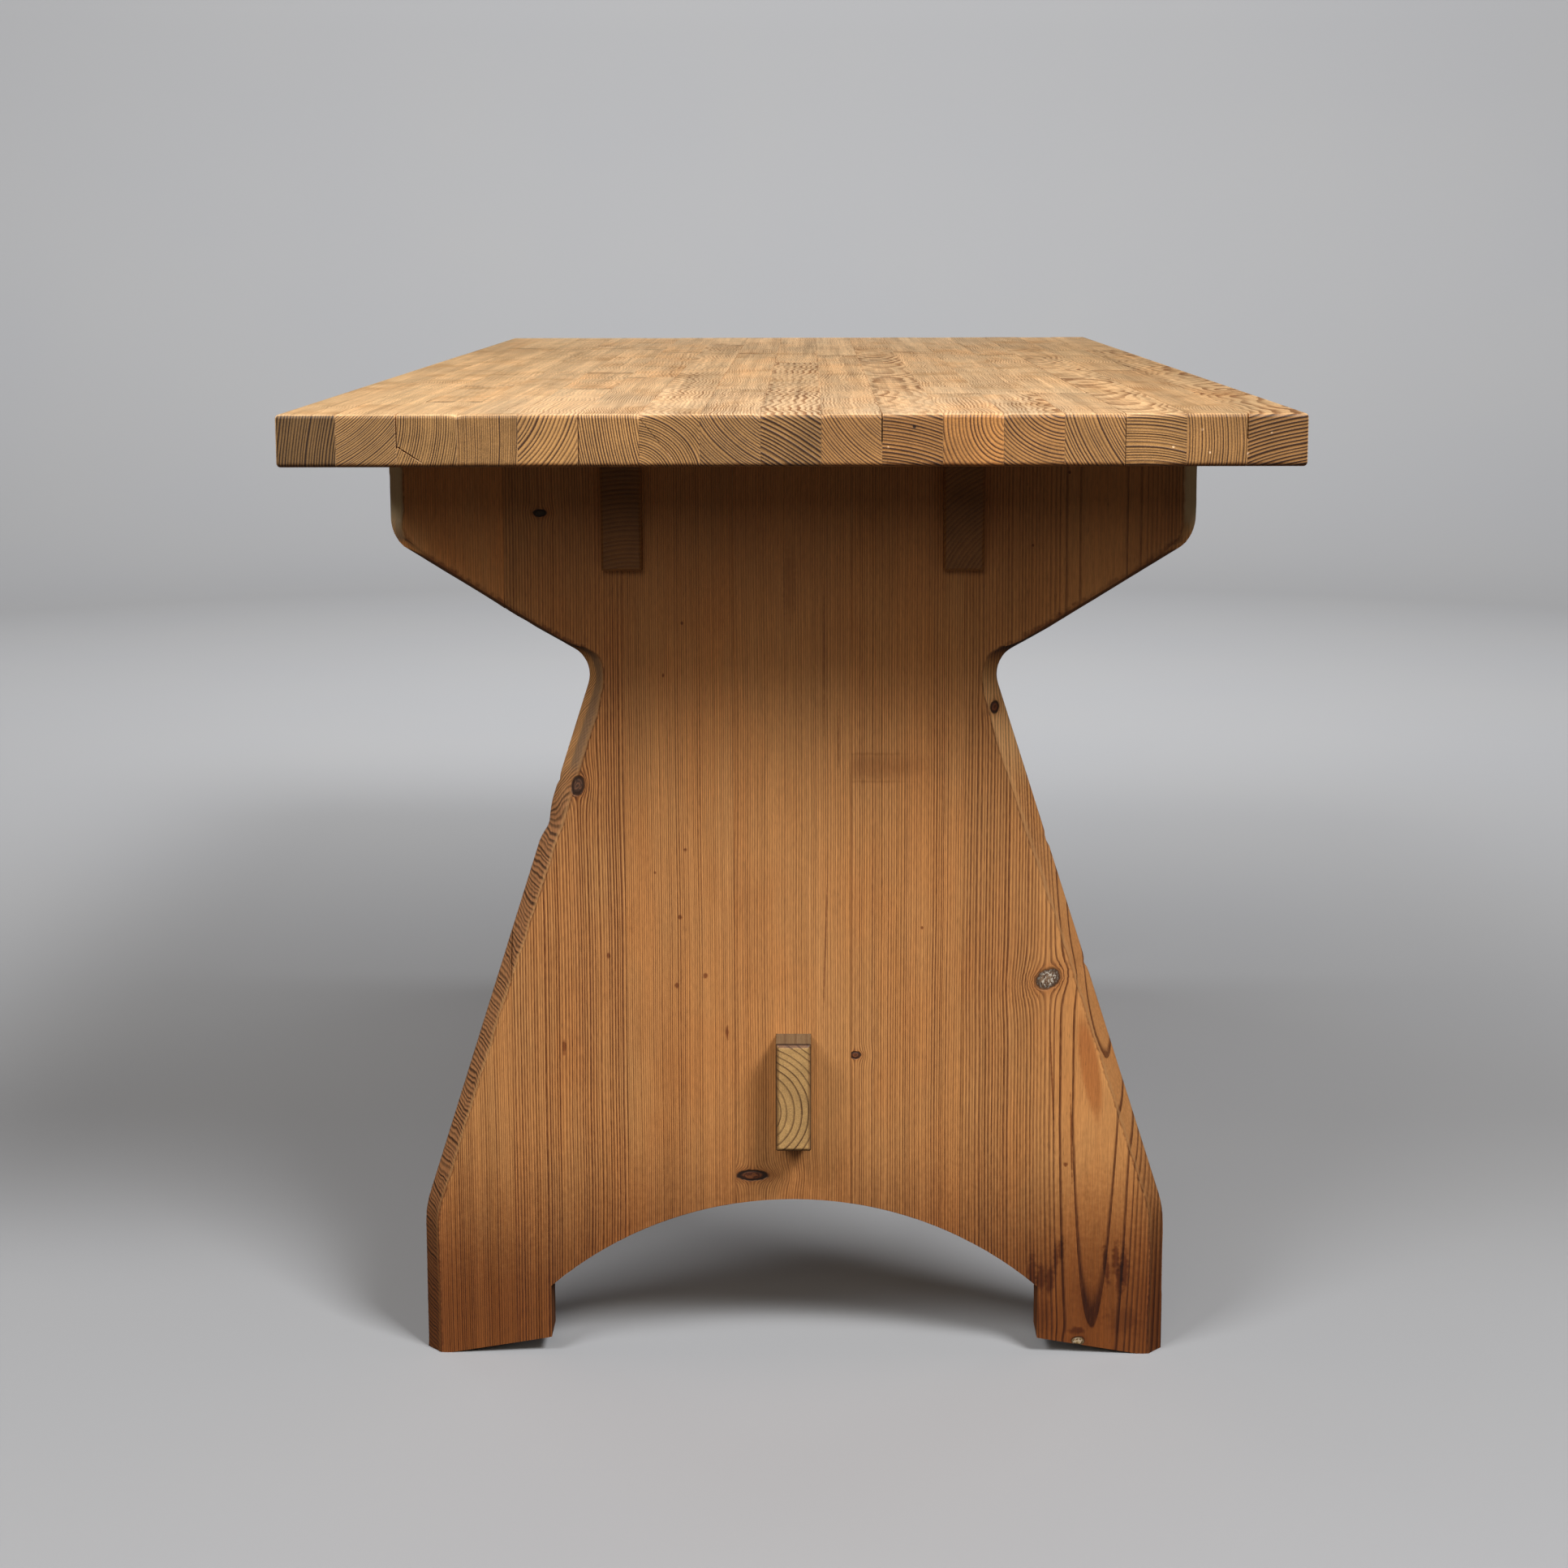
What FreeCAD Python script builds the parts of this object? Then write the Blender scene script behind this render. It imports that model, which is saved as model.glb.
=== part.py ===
# Pine trestle table: a staved top on two shaped plank ends, tied by two rails and a stretcher.
# X runs across the table, Y along it and Z up. The origin is on the floor under its middle.
import FreeCAD
import Part
import Sketcher
import os

os.makedirs("parts", exist_ok=True)
doc = FreeCAD.newDocument("trestle_table")

SIZES = {
    # Table top
    "top_length": 1400.0,
    "top_width": 700.0,
    "top_thickness": 36.0,
    "top_edge_radius": 3.0,
    # Plank ends: heights from the floor, drops from the top's underside, half widths from the middle
    "end_overhang": 176.0,
    "end_thickness": 30.0,
    "end_height": 714.0,
    "wing_inset": 46.0,
    "wing_depth": 68.5,
    "wing_corner_radius": 30.0,
    "waist_half_width": 150.5,
    "waist_drop": 164.0,
    "waist_radius": 24.0,
    "foot_half_width": 289.5,
    "foot_width": 99.0,
    "foot_shoulder_height": 115.0,
    "foot_shoulder_radius": 80.0,
    "land_width": 19.5,
    "heel_rise": 13.0,
    "arch_spring_height": 55.0,
    "arch_rise": 71.5,
    "end_edge_bevel": 11.5,
    # Rails under the top
    "rail_width": 30.0,
    "rail_height": 92.0,
    "rail_spacing": 256.0,
    "rail_projection": 12.0,
    "rail_end_bevel": 1.5,
    # Stretcher between the ends
    "stretcher_thickness": 27.0,
    "stretcher_shoulder": 18.0,
    "tenon_height": 85.0,
    "tenon_bottom_height": 175.0,
    "tenon_projection": 28.0,
    "tenon_end_bevel": 2.5,
    # Screws that hold the top to the rails
    "screw_diameter": 5.0,
    "screw_grip": 42.0,
    "screw_bite": 23.0,
    "screw_tip_length": 6.0,
    "screw_clearance": 0.15,
    "screw_head_diameter": 10.0,
    "screw_head_height": 3.0,
    "head_clearance": 1.5,
    # How far a cutting solid runs past what it cuts
    "overrun": 5.0,
}

# Butt joints in each stave, from the left stave to the right, as shares of the top's length.
BUTT_JOINT_SHARES = (
    (0.665,),
    (0.78,),
    (0.10, 0.248, 0.72),
    (0.395, 0.83),
    (0.217, 0.394, 0.76),
    (0.339, 0.70),
    (0.839,),
    (0.209, 0.68),
    (0.527,),
    (0.64,),
    (0.196, 0.74),
    (0.164, 0.70),
    (0.156, 0.465, 0.80),
    (0.17, 0.66),
    (0.75,),
    (0.418, 0.86),
    (0.72,),
)

# Glue lines between the boards of an end: the outer one as a share of the way from the waist to
# the narrower of the wing and the foot, the others, which run its whole height, as shares of the
# waist's half width.
OUTER_SEAM_SHARE = 0.481
INNER_SEAM_SHARES = (-0.854, -0.299, 0.295, 0.860)

# Screws along each rail, as shares of the clear length between the ends.
SCREW_SHARES = (0.12, 0.38, 0.62, 0.88)

# The most that an edge of an end is bevelled, as a share of its thickness.
EDGE_BEVEL_SHARE = 0.48

# Sizes and places that several pieces share, as expressions on the sheet.
END_FACE = "(Sizes.top_length / 2 - Sizes.end_overhang)"
END_INNER_FACE = "(%s - Sizes.end_thickness)" % END_FACE
WING_HALF_WIDTH = "(Sizes.top_width / 2 - Sizes.wing_inset)"
WAIST_HEIGHT = "(Sizes.end_height - Sizes.waist_drop)"
ARCH_HALF_WIDTH = "(Sizes.foot_half_width - Sizes.foot_width)"
RAIL_BOTTOM = "(Sizes.end_height - Sizes.rail_height)"
SCREW_SEAT = "(Sizes.end_height - Sizes.screw_grip)"
SCREW_LENGTH = "(Sizes.screw_grip + Sizes.screw_bite)"

sheet = doc.addObject("Spreadsheet::Sheet", "Sizes")
for row, (alias, size) in enumerate(SIZES.items(), start=1):
    sheet.set("A%d" % row, alias)
    sheet.set("B%d" % row, str(size))
    sheet.setAlias("B%d" % row, alias)
doc.recompute()


def size_of(expression):
    """The value of an expression on the sheet."""
    return sheet.evalExpression(expression)


def place(item, x="0", y="0", z="0"):
    """Binds an object's place to the sheet."""
    item.setExpression("Placement.Base.x", x)
    item.setExpression("Placement.Base.y", y)
    item.setExpression("Placement.Base.z", z)


def add_box(name, size, corner):
    """A box with its lowest corner at a place."""
    box = doc.addObject("Part::Box", name)
    for side, expression in zip(("Length", "Width", "Height"), size):
        box.setExpression(side, expression)
    place(box, *corner)
    return box


def add_cylinder(name, radius, height, base):
    """An upright cylinder whose lower end is centred on a place."""
    cylinder = doc.addObject("Part::Cylinder", name)
    cylinder.setExpression("Radius", radius)
    cylinder.setExpression("Height", height)
    place(cylinder, *base)
    return cylinder


def add_boolean(kind, name, base, tool):
    """A cut or a common of two objects."""
    result = doc.addObject(kind, name)
    result.Base = base
    result.Tool = tool
    return result


def add_group(name, members):
    """Separate solids kept together in one object."""
    group = doc.addObject("Part::Compound", name)
    group.Links = members
    return group


def add_union(name, members):
    """Overlapping solids joined into one."""
    union = doc.addObject("Part::MultiFuse", name)
    union.Shapes = members
    union.Refine = True
    return union


def add_sketch(body, name, outline):
    """A closed outline on the body's own upright plane across the table."""
    plane = next(item for item in body.Origin.OriginFeatures if item.Role == "XZ_Plane")
    sketch = body.newObject("Sketcher::SketchObject", name)
    sketch.AttachmentSupport = [(plane, "")]
    sketch.MapMode = "FlatFace"
    for segment in outline:
        sketch.addGeometry(segment)
    for index in range(len(outline)):
        following = (index + 1) % len(outline)
        sketch.addConstraint(Sketcher.Constraint("Coincident", index, 2, following, 1))
    return sketch


def bind_constraint(sketch, name, expression, constraint):
    """Adds a constraint that has a size and binds the size to the sheet."""
    sketch.renameConstraint(sketch.addConstraint(constraint), name)
    sketch.setExpression("Constraints." + name, expression)


def polygon(corners):
    """Straight segments from each corner to the next."""
    return [Part.LineSegment(start, end) for start, end in zip(corners, corners[1:])]


def add_bar(name, width, height, length):
    """A rectangular bar along the table, standing on its origin and centred over it."""
    body = doc.addObject("PartDesign::Body", name)
    half = SIZES[width] / 2
    corners = [
        FreeCAD.Vector(-half, 0, 0),
        FreeCAD.Vector(half, 0, 0),
        FreeCAD.Vector(half, SIZES[height], 0),
        FreeCAD.Vector(-half, SIZES[height], 0),
    ]
    sketch = add_sketch(body, name + "_section", polygon(corners + corners[:1]))
    sketch.addConstraint(Sketcher.Constraint("Symmetric", 0, 1, 0, 2, -2))
    sketch.addConstraint(Sketcher.Constraint("PointOnObject", 0, 1, -1))
    sketch.addConstraint(Sketcher.Constraint("Vertical", 1))
    sketch.addConstraint(Sketcher.Constraint("Horizontal", 2))
    sketch.addConstraint(Sketcher.Constraint("Vertical", 3))
    across = Sketcher.Constraint("DistanceX", 0, 1, 0, 2, SIZES[width])
    bind_constraint(sketch, "width", "Sizes." + width, across)
    upright = Sketcher.Constraint("DistanceY", 1, 1, 1, 2, SIZES[height])
    bind_constraint(sketch, "height", "Sizes." + height, upright)
    pad = body.newObject("PartDesign::Pad", name + "_pad")
    pad.Profile = sketch
    pad.SideType = "Symmetric"
    pad.setExpression("Length", length)
    doc.recompute()
    return body


def edge_names(shape, wanted):
    """Names of the edges that a test picks."""
    return ["Edge%d" % number for number, edge in enumerate(shape.Edges, start=1) if wanted(edge)]


def is_end_edge(edge):
    """True for an edge that lies across the end of a bar."""
    return edge.BoundBox.YLength < edge.Length / 2


def nearest_edges(shape, points):
    """Names of the edges whose middles lie nearest to the given points."""
    middles = [edge.valueAt((edge.FirstParameter + edge.LastParameter) / 2) for edge in shape.Edges]
    names = []
    for point in points:
        distances = [point.distanceToPoint(middle) for middle in middles]
        names.append("Edge%d" % (distances.index(min(distances)) + 1))
    return names


def dress_edges(body, kind, name, property_name, size, names):
    """Rounds or bevels named edges of the body's last feature."""
    base = body.Tip
    dressing = body.newObject(kind, name)
    dressing.Base = (base, names)
    dressing.setExpression(property_name, size)
    doc.recompute()


def round_edges(body, name, radius, names):
    """Rounds named edges of the body's last feature."""
    dress_edges(body, "PartDesign::Fillet", name, "Radius", radius, names)


def bevel_edges(body, name, size, names):
    """Bevels named edges of the body's last feature."""
    dress_edges(body, "PartDesign::Chamfer", name, "Size", size, names)


def make_end_blank():
    """One whole shaped end before it is cut for its rails, its tenon and its glue lines."""
    body = doc.addObject("PartDesign::Body", "end_blank")
    corners = (
        (WING_HALF_WIDTH, "Sizes.end_height"),
        (WING_HALF_WIDTH, "Sizes.end_height - Sizes.wing_depth"),
        ("Sizes.waist_half_width", WAIST_HEIGHT),
        ("Sizes.foot_half_width", "Sizes.foot_shoulder_height"),
        ("Sizes.foot_half_width", "0"),
        ("Sizes.foot_half_width - Sizes.land_width", "0"),
        (ARCH_HALF_WIDTH, "Sizes.heel_rise"),
        (ARCH_HALF_WIDTH, "Sizes.arch_spring_height"),
    )
    right = [FreeCAD.Vector(size_of(half), size_of(rise), 0) for half, rise in corners]
    left = [FreeCAD.Vector(-corner.x, corner.y, 0) for corner in reversed(right)]
    crown = FreeCAD.Vector(0, size_of("Sizes.arch_spring_height + Sizes.arch_rise"), 0)
    arch = Part.Arc(right[-1], crown, left[0])
    outline = polygon(right) + [arch] + polygon(left) + polygon([left[-1], right[0]])
    sketch = add_sketch(body, "end_outline", outline)
    for index, ((half, rise), corner) in enumerate(zip(corners, right)):
        across = Sketcher.Constraint("DistanceX", -1, 1, index, 1, corner.x)
        bind_constraint(sketch, "half_width_%d" % index, half, across)
        if corner.y:
            upright = Sketcher.Constraint("DistanceY", -1, 1, index, 1, corner.y)
            bind_constraint(sketch, "height_%d" % index, rise, upright)
        else:
            sketch.addConstraint(Sketcher.Constraint("PointOnObject", index, 1, -1))
        mirrored = len(outline) - 1 - index
        sketch.addConstraint(Sketcher.Constraint("Symmetric", index, 1, mirrored, 1, -2))
    arch_index = outline.index(arch)
    arch_radius = "(%s ^ 2 / Sizes.arch_rise + Sizes.arch_rise) / 2" % ARCH_HALF_WIDTH
    curve = Sketcher.Constraint("Radius", arch_index, sketch.Geometry[arch_index].Radius)
    bind_constraint(sketch, "arch_radius", arch_radius, curve)
    pad = body.newObject("PartDesign::Pad", "end_pad")
    pad.Profile = sketch
    pad.setExpression("Length", "Sizes.end_thickness")
    doc.recompute()
    rounded_corners = (
        ("wing_corner", right[1]),
        ("waist", right[2]),
        ("foot_shoulder", right[3]),
    )
    depth = body.Shape.BoundBox.Center.y
    for name, corner in rounded_corners:
        pair = [FreeCAD.Vector(side * corner.x, depth, corner.y) for side in (1, -1)]
        names = nearest_edges(body.Tip.Shape, pair)
        round_edges(body, name + "_round", "Sizes.%s_radius" % name, names)
    side_height = (right[0].y + right[1].y) / 2
    faces = (pad.Shape.BoundBox.YMin, pad.Shape.BoundBox.YMax)
    sides = [FreeCAD.Vector(side * right[0].x, face, side_height) for side in (1, -1) for face in faces]
    names = nearest_edges(body.Tip.Shape, sides)
    bevel = "min(Sizes.end_edge_bevel; %s * Sizes.end_thickness)" % EDGE_BEVEL_SHARE
    bevel_edges(body, "end_edge_bevel", bevel, names)
    place(body, y="-" + END_INNER_FACE)
    return body


def screw_places():
    """The X and Y of each screw, along one rail and then the other."""
    places = []
    for side in ("-", ""):
        for share in SCREW_SHARES:
            along = "%s * 2 * %s - %s" % (share, END_INNER_FACE, END_INNER_FACE)
            places.append((side + "Sizes.rail_spacing / 2", along))
    return places


def make_screw_bores():
    """Bores for the screws: a clear hole up into the top and a wide bore below each head."""
    clear_radius = "Sizes.screw_diameter / 2 + Sizes.screw_clearance"
    wide_radius = "Sizes.screw_head_diameter / 2 + Sizes.head_clearance"
    mouth = "%s - Sizes.overrun" % RAIL_BOTTOM
    depth = "Sizes.rail_height - Sizes.screw_grip + Sizes.overrun"
    holes = []
    counterbores = []
    for number, (x, y) in enumerate(screw_places(), start=1):
        seat = (x, y, SCREW_SEAT)
        holes.append(add_cylinder("screw_hole_%d" % number, clear_radius, SCREW_LENGTH, seat))
        counterbores.append(add_cylinder("counterbore_%d" % number, wide_radius, depth, (x, y, mouth)))
    return add_group("screw_holes", holes), add_group("screw_bores", holes + counterbores)


def make_screws():
    """Pan-head screws, their heads seated in the bores of the rails."""
    head_radius = "Sizes.screw_head_diameter / 2"
    head_height = "Sizes.screw_head_height"
    head_bottom = "%s - %s" % (SCREW_SEAT, head_height)
    shank_radius = "Sizes.screw_diameter / 2"
    shank_length = "%s - Sizes.screw_tip_length" % SCREW_LENGTH
    screws = []
    for number, (x, y) in enumerate(screw_places(), start=1):
        head = add_cylinder("screw_head_%d" % number, head_radius, head_height, (x, y, head_bottom))
        shank = add_cylinder("screw_shank_%d" % number, shank_radius, shank_length, (x, y, SCREW_SEAT))
        tip = doc.addObject("Part::Cone", "screw_tip_%d" % number)
        tip.setExpression("Radius1", shank_radius)
        tip.Radius2 = 0
        tip.setExpression("Height", "Sizes.screw_tip_length")
        place(tip, x, y, "%s + %s" % (SCREW_SEAT, shank_length))
        screws.append(add_union("screw_%d" % number, [head, shank, tip]))
    return add_group("top_fixing_screws", screws)


def make_staves(holes):
    """The top, cut into staves and each stave into the blocks that its butt joints leave."""
    blank = add_bar("top_blank", "top_width", "top_thickness", "Sizes.top_length")
    all_edges = edge_names(blank.Shape, lambda edge: True)
    round_edges(blank, "top_edge_round", "Sizes.top_edge_radius", all_edges)
    place(blank, z="Sizes.end_height")
    bored = add_boolean("Part::Cut", "top_bored", blank, holes)
    width = "Sizes.top_width / %d" % len(BUTT_JOINT_SHARES)
    staves = []
    for column, joints in enumerate(BUTT_JOINT_SHARES):
        name = "top_stave_%02d" % (column + 1)
        left = "%d * %s - Sizes.top_width / 2" % (column, width)
        stops = (0,) + joints + (1,)
        blocks = []
        for number, (start, stop) in enumerate(zip(stops, stops[1:]), start=1):
            length = "(%s - %s) * Sizes.top_length" % (stop, start)
            near = "%s * Sizes.top_length - Sizes.top_length / 2" % start
            size = (width, length, "Sizes.top_thickness")
            cell = add_box("%s_cell_%d" % (name, number), size, (left, near, "Sizes.end_height"))
            blocks.append(add_boolean("Part::Common", "%s_block_%d" % (name, number), bored, cell))
        staves.append(add_group(name, blocks))
    return staves


def make_rails(bores):
    """The two rails under the top, which run through the notches of both ends."""
    rails = []
    for name, side in (("left_rail", "-"), ("right_rail", "")):
        length = "2 * (%s + Sizes.rail_projection)" % END_FACE
        bar = add_bar(name + "_bar", "rail_width", "rail_height", length)
        names = edge_names(bar.Shape, is_end_edge)
        bevel_edges(bar, name + "_bevel", "Sizes.rail_end_bevel", names)
        place(bar, side + "Sizes.rail_spacing / 2", "0", RAIL_BOTTOM)
        rails.append(add_boolean("Part::Cut", name, bar, bores))
    return rails


def make_stretcher():
    """The stretcher: a board between the ends whose tenons pass through them."""
    length = "2 * (%s + Sizes.tenon_projection)" % END_FACE
    tenons = add_bar("stretcher_tenons", "stretcher_thickness", "tenon_height", length)
    names = edge_names(tenons.Shape, is_end_edge)
    bevel_edges(tenons, "tenon_bevel", "Sizes.tenon_end_bevel", names)
    place(tenons, z="Sizes.tenon_bottom_height")
    size = (
        "Sizes.stretcher_thickness",
        "2 * " + END_INNER_FACE,
        "Sizes.tenon_height + 2 * Sizes.stretcher_shoulder",
    )
    corner = (
        "-Sizes.stretcher_thickness / 2",
        "-" + END_INNER_FACE,
        "Sizes.tenon_bottom_height - Sizes.stretcher_shoulder",
    )
    board = add_box("stretcher_board", size, corner)
    return add_union("stretcher", [board, tenons])


def make_end_cutters():
    """What the rails and the tenon take out of an end."""
    depth = "Sizes.end_thickness + 2 * Sizes.overrun"
    front = "-%s - Sizes.overrun" % END_FACE
    cutters = []
    for name, side in (("left_notch", "-"), ("right_notch", "")):
        size = ("Sizes.rail_width", depth, "Sizes.rail_height + Sizes.overrun")
        corner = (side + "Sizes.rail_spacing / 2 - Sizes.rail_width / 2", front, RAIL_BOTTOM)
        cutters.append(add_box(name, size, corner))
    size = ("Sizes.stretcher_thickness", depth, "Sizes.tenon_height")
    corner = ("-Sizes.stretcher_thickness / 2", front, "Sizes.tenon_bottom_height")
    cutters.append(add_box("mortise", size, corner))
    return add_group("end_cutters", cutters)


def make_end_boards():
    """The near end cut along its glue lines, and the far end as its mirror image."""
    cut_end = add_boolean("Part::Cut", "end_cut", make_end_blank(), make_end_cutters())
    narrower = "min(%s; Sizes.foot_half_width)" % WING_HALF_WIDTH
    past_waist = "%s * (%s - Sizes.waist_half_width)" % (OUTER_SEAM_SHARE, narrower)
    seams = ["-" + WING_HALF_WIDTH, "-(Sizes.waist_half_width + %s)" % past_waist]
    seams += ["%s * Sizes.waist_half_width" % share for share in INNER_SEAM_SHARES]
    seams.append(WING_HALF_WIDTH)
    depth = "Sizes.end_thickness"
    front = "-" + END_FACE
    upper = ("Sizes.waist_drop", WAIST_HEIGHT)
    lower = (WAIST_HEIGHT, "0")
    whole = ("Sizes.end_height", "0")
    slabs = (
        ("end_left_wing", 0, upper),
        ("end_left_foot", 0, lower),
        ("end_board_2", 1, whole),
        ("end_board_3", 2, whole),
        ("end_board_4", 3, whole),
        ("end_board_5", 4, whole),
        ("end_board_6", 5, whole),
    )
    boards = []
    for name, column, (height, bottom) in slabs:
        width = "%s - (%s)" % (seams[column + 1], seams[column])
        slab = add_box(name + "_slab", (width, depth, height), (seams[column], front, bottom))
        near_board = add_boolean("Part::Common", "front_" + name, cut_end, slab)
        far_board = doc.addObject("Part::Mirroring", "back_" + name)
        far_board.Source = near_board
        far_board.Normal = FreeCAD.Vector(0, 1, 0)
        boards += [near_board, far_board]
    return boards


screw_holes, screw_bores = make_screw_bores()
pieces = make_staves(screw_holes) + make_end_boards() + make_rails(screw_bores)
pieces += [make_stretcher(), make_screws()]
doc.recompute()

for item in doc.Objects:
    if "Invalid" in item.State or "Error" in item.State:
        raise RuntimeError("%s failed to build" % item.Name)
for piece in pieces:
    if piece.Shape.isNull() or not piece.Shape.isValid():
        raise RuntimeError("%s has no valid shape" % piece.Label)
for piece in pieces:
    piece.Shape.exportStep("parts/%s.step" % piece.Label)
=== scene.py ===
import math
import random
import typing

import bmesh
import bpy
from mathutils import Matrix, Vector, kdtree, noise


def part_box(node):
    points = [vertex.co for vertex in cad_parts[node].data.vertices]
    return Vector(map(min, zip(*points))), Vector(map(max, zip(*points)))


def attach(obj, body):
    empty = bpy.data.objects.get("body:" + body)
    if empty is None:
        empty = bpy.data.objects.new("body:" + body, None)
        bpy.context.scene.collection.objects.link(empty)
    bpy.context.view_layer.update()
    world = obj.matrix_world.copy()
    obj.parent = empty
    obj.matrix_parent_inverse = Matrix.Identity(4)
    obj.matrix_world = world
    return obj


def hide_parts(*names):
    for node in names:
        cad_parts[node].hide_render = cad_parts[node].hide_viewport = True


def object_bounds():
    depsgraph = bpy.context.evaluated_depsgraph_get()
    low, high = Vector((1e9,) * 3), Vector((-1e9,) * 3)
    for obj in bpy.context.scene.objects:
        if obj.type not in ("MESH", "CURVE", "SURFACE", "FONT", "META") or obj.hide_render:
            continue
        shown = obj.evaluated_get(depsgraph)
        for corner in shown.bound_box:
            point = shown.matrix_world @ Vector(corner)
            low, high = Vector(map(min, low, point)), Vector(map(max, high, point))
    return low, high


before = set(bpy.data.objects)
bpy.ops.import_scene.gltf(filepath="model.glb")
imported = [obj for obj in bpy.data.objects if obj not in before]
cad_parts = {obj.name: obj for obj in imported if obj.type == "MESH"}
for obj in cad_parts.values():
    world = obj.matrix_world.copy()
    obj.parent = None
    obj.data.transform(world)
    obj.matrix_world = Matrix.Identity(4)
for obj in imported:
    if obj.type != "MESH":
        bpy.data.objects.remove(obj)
cad_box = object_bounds()

# Camera
CAMERA_PLACE = Vector((0.01205, -2.40591, 0.86413))
CAMERA_YAW = math.radians(-0.568)
CAMERA_PITCH = math.radians(8.094)
CAMERA_ROLL = math.radians(-0.132)
CAMERA_LENS = 57.931
CAMERA_SHIFT = -0.1159

# Mesh work
WELD = 1e-6
TOUCH = 1e-5
FLAT_ANGLE = math.radians(0.5)
ARRIS_ANGLE = math.radians(35)
SEAM_ANGLE = math.radians(60)
SMOOTH_ANGLE = math.radians(32)
FACE_ROOM = 0.0055
SIDE_ROOM = 0.0022
ARRIS_REACH = 0.005
END_BEVEL = 0.0115
NOISE_RANGE = 12.0
SINK_TOP = 0.19
RING_SEED = 91733.0

LEFT_BLOCKS = ("end_left_wing", "end_left_foot")
END_BOARDS = LEFT_BLOCKS + tuple("end_board_%d" % number for number in range(2, 7))


class Nodes:
    """Adds shader nodes to a material and joins them."""

    def __init__(self, name):
        self.material = bpy.data.materials.new(name)
        self.material.use_nodes = True
        self.tree = self.material.node_tree
        self.tree.nodes.clear()

    def feed(self, socket, value):
        """Joins a socket to another one, or sets its value."""
        if isinstance(value, bpy.types.NodeSocket):
            self.tree.links.new(value, socket)
        else:
            socket.default_value = value

    def fill(self, node, **values):
        """A node with some of its inputs, given by their names, joined or set."""
        for name, value in values.items():
            self.feed(node.inputs[name.replace("_", " ")], value)
        return node

    def add(self, kind, values=(), **settings):
        """A node with its settings and the values of its first inputs."""
        node = self.tree.nodes.new("ShaderNode" + kind)
        for setting, value in settings.items():
            setattr(node, setting, value)
        for socket, value in zip(node.inputs, values):
            self.feed(socket, value)
        return node

    def math(self, operation, *values):
        """A sum on numbers."""
        return self.add("Math", values, operation=operation).outputs[0]

    def times(self, first, *others):
        """The product of some numbers."""
        for other in others:
            first = self.math("MULTIPLY", first, other)
        return first

    def minus(self, first, second):
        """The difference of two numbers."""
        return self.math("SUBTRACT", first, second)

    def with_share(self, value, share, base):
        """A number plus a share of another one."""
        return self.math("MULTIPLY_ADD", value, share, base)

    def vector(self, operation, *values):
        """A sum on vectors."""
        return self.add("VectorMath", values, operation=operation).outputs[0]

    def length(self, at):
        """The length of a vector."""
        return self.add("VectorMath", (at,), operation="LENGTH").outputs[1]

    def scale(self, at, factor):
        """A vector or a colour times a number."""
        return self.fill(self.add("VectorMath", (at,), operation="SCALE"), Scale=factor).outputs[0]

    def split(self, at):
        """The three numbers of a vector."""
        return self.add("SeparateXYZ", (at,)).outputs[:]

    def join(self, x, y, z):
        """A vector of three numbers."""
        return self.add("CombineXYZ", (x, y, z)).outputs[0]

    def attribute(self, name):
        """A vector that the mesh carries."""
        return self.add("Attribute", attribute_name=name).outputs["Vector"]

    def noise(self, at, across, along, detail=2.0, roughness=0.5, three=False):
        """Noise with so many waves per metre across and along, as a number or as three."""
        node = self.add("TexNoise", (self.vector("MULTIPLY", at, (across, across, along)),))
        return self.fill(node, Scale=1.0, Detail=detail, Roughness=roughness).outputs[1 if three else 0]

    def step(self, value, start, stop, low=0.0, high=1.0):
        """Goes smoothly from low to high while a number goes from start to stop."""
        values = (value, start, stop, low, high)
        return self.add("MapRange", values, interpolation_type="SMOOTHSTEP").outputs[0]

    def mix(self, factor, first, second, blend="MIX"):
        """A blend of two colours."""
        node = self.add("Mix", data_type="RGBA", blend_type=blend)
        self.feed(node.inputs[0], factor)
        self.feed(node.inputs[6], first)
        self.feed(node.inputs[7], second)
        return node.outputs[2]

    def finish(self, colour, roughness, height, depth, metallic=0.0):
        """A surface with a colour, a roughness and a relief."""
        bump = self.fill(self.add("Bump"), Strength=1.0, Distance=depth, Height=height).outputs[0]
        shader = self.add("BsdfPrincipled")
        self.fill(shader, Base_Color=colour, Metallic=metallic, Roughness=roughness, Normal=bump)
        self.fill(self.add("OutputMaterial"), Surface=shader.outputs[0])
        return self.material


def rgb(red, green, blue):
    """A colour in linear light."""
    return (red, green, blue, 1.0)


# Colours in linear light: factors that tint the wood, and what lies on it or is bare; some of them paint
# light or shade into it.
RED_FACE = rgb(1.0, 0.8, 0.6)
RED_END = rgb(1.05, 0.78, 0.56)
KNOT_SHADE = rgb(0.62, 0.45, 0.35)
KNOT_RIM = rgb(0.022, 0.009, 0.005)
SPLINTER = rgb(0.62, 0.56, 0.47)
SCRUBBED_MIDDLE = rgb(1.08, 1.12, 1.2)
GREASY_SIDE = rgb(0.95, 0.92, 0.86)
# Painted shade: darkens the top towards its far end, where less light reaches.
PAINTED_FAR_END_SHADE = rgb(0.88, 0.91, 0.96)
BLOTCH = rgb(0.78, 0.7, 0.6)
SCUFF = rgb(0.6, 0.5, 0.4)
JOINT_DIRT = rgb(0.13, 0.065, 0.03)
JOINT_SMUDGE = rgb(0.62, 0.56, 0.52)
LOWER_ARRIS = rgb(0.4, 0.28, 0.2)
NAIL_HOLE = rgb(0.1, 0.08, 0.06)
PALE_SPECK = rgb(2.4, 3.2, 5.5)
RUBBED_ARRIS = rgb(0.6, 0.315, 0.12)
GREY_BEVEL = rgb(0.25, 0.16, 0.098)
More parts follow.
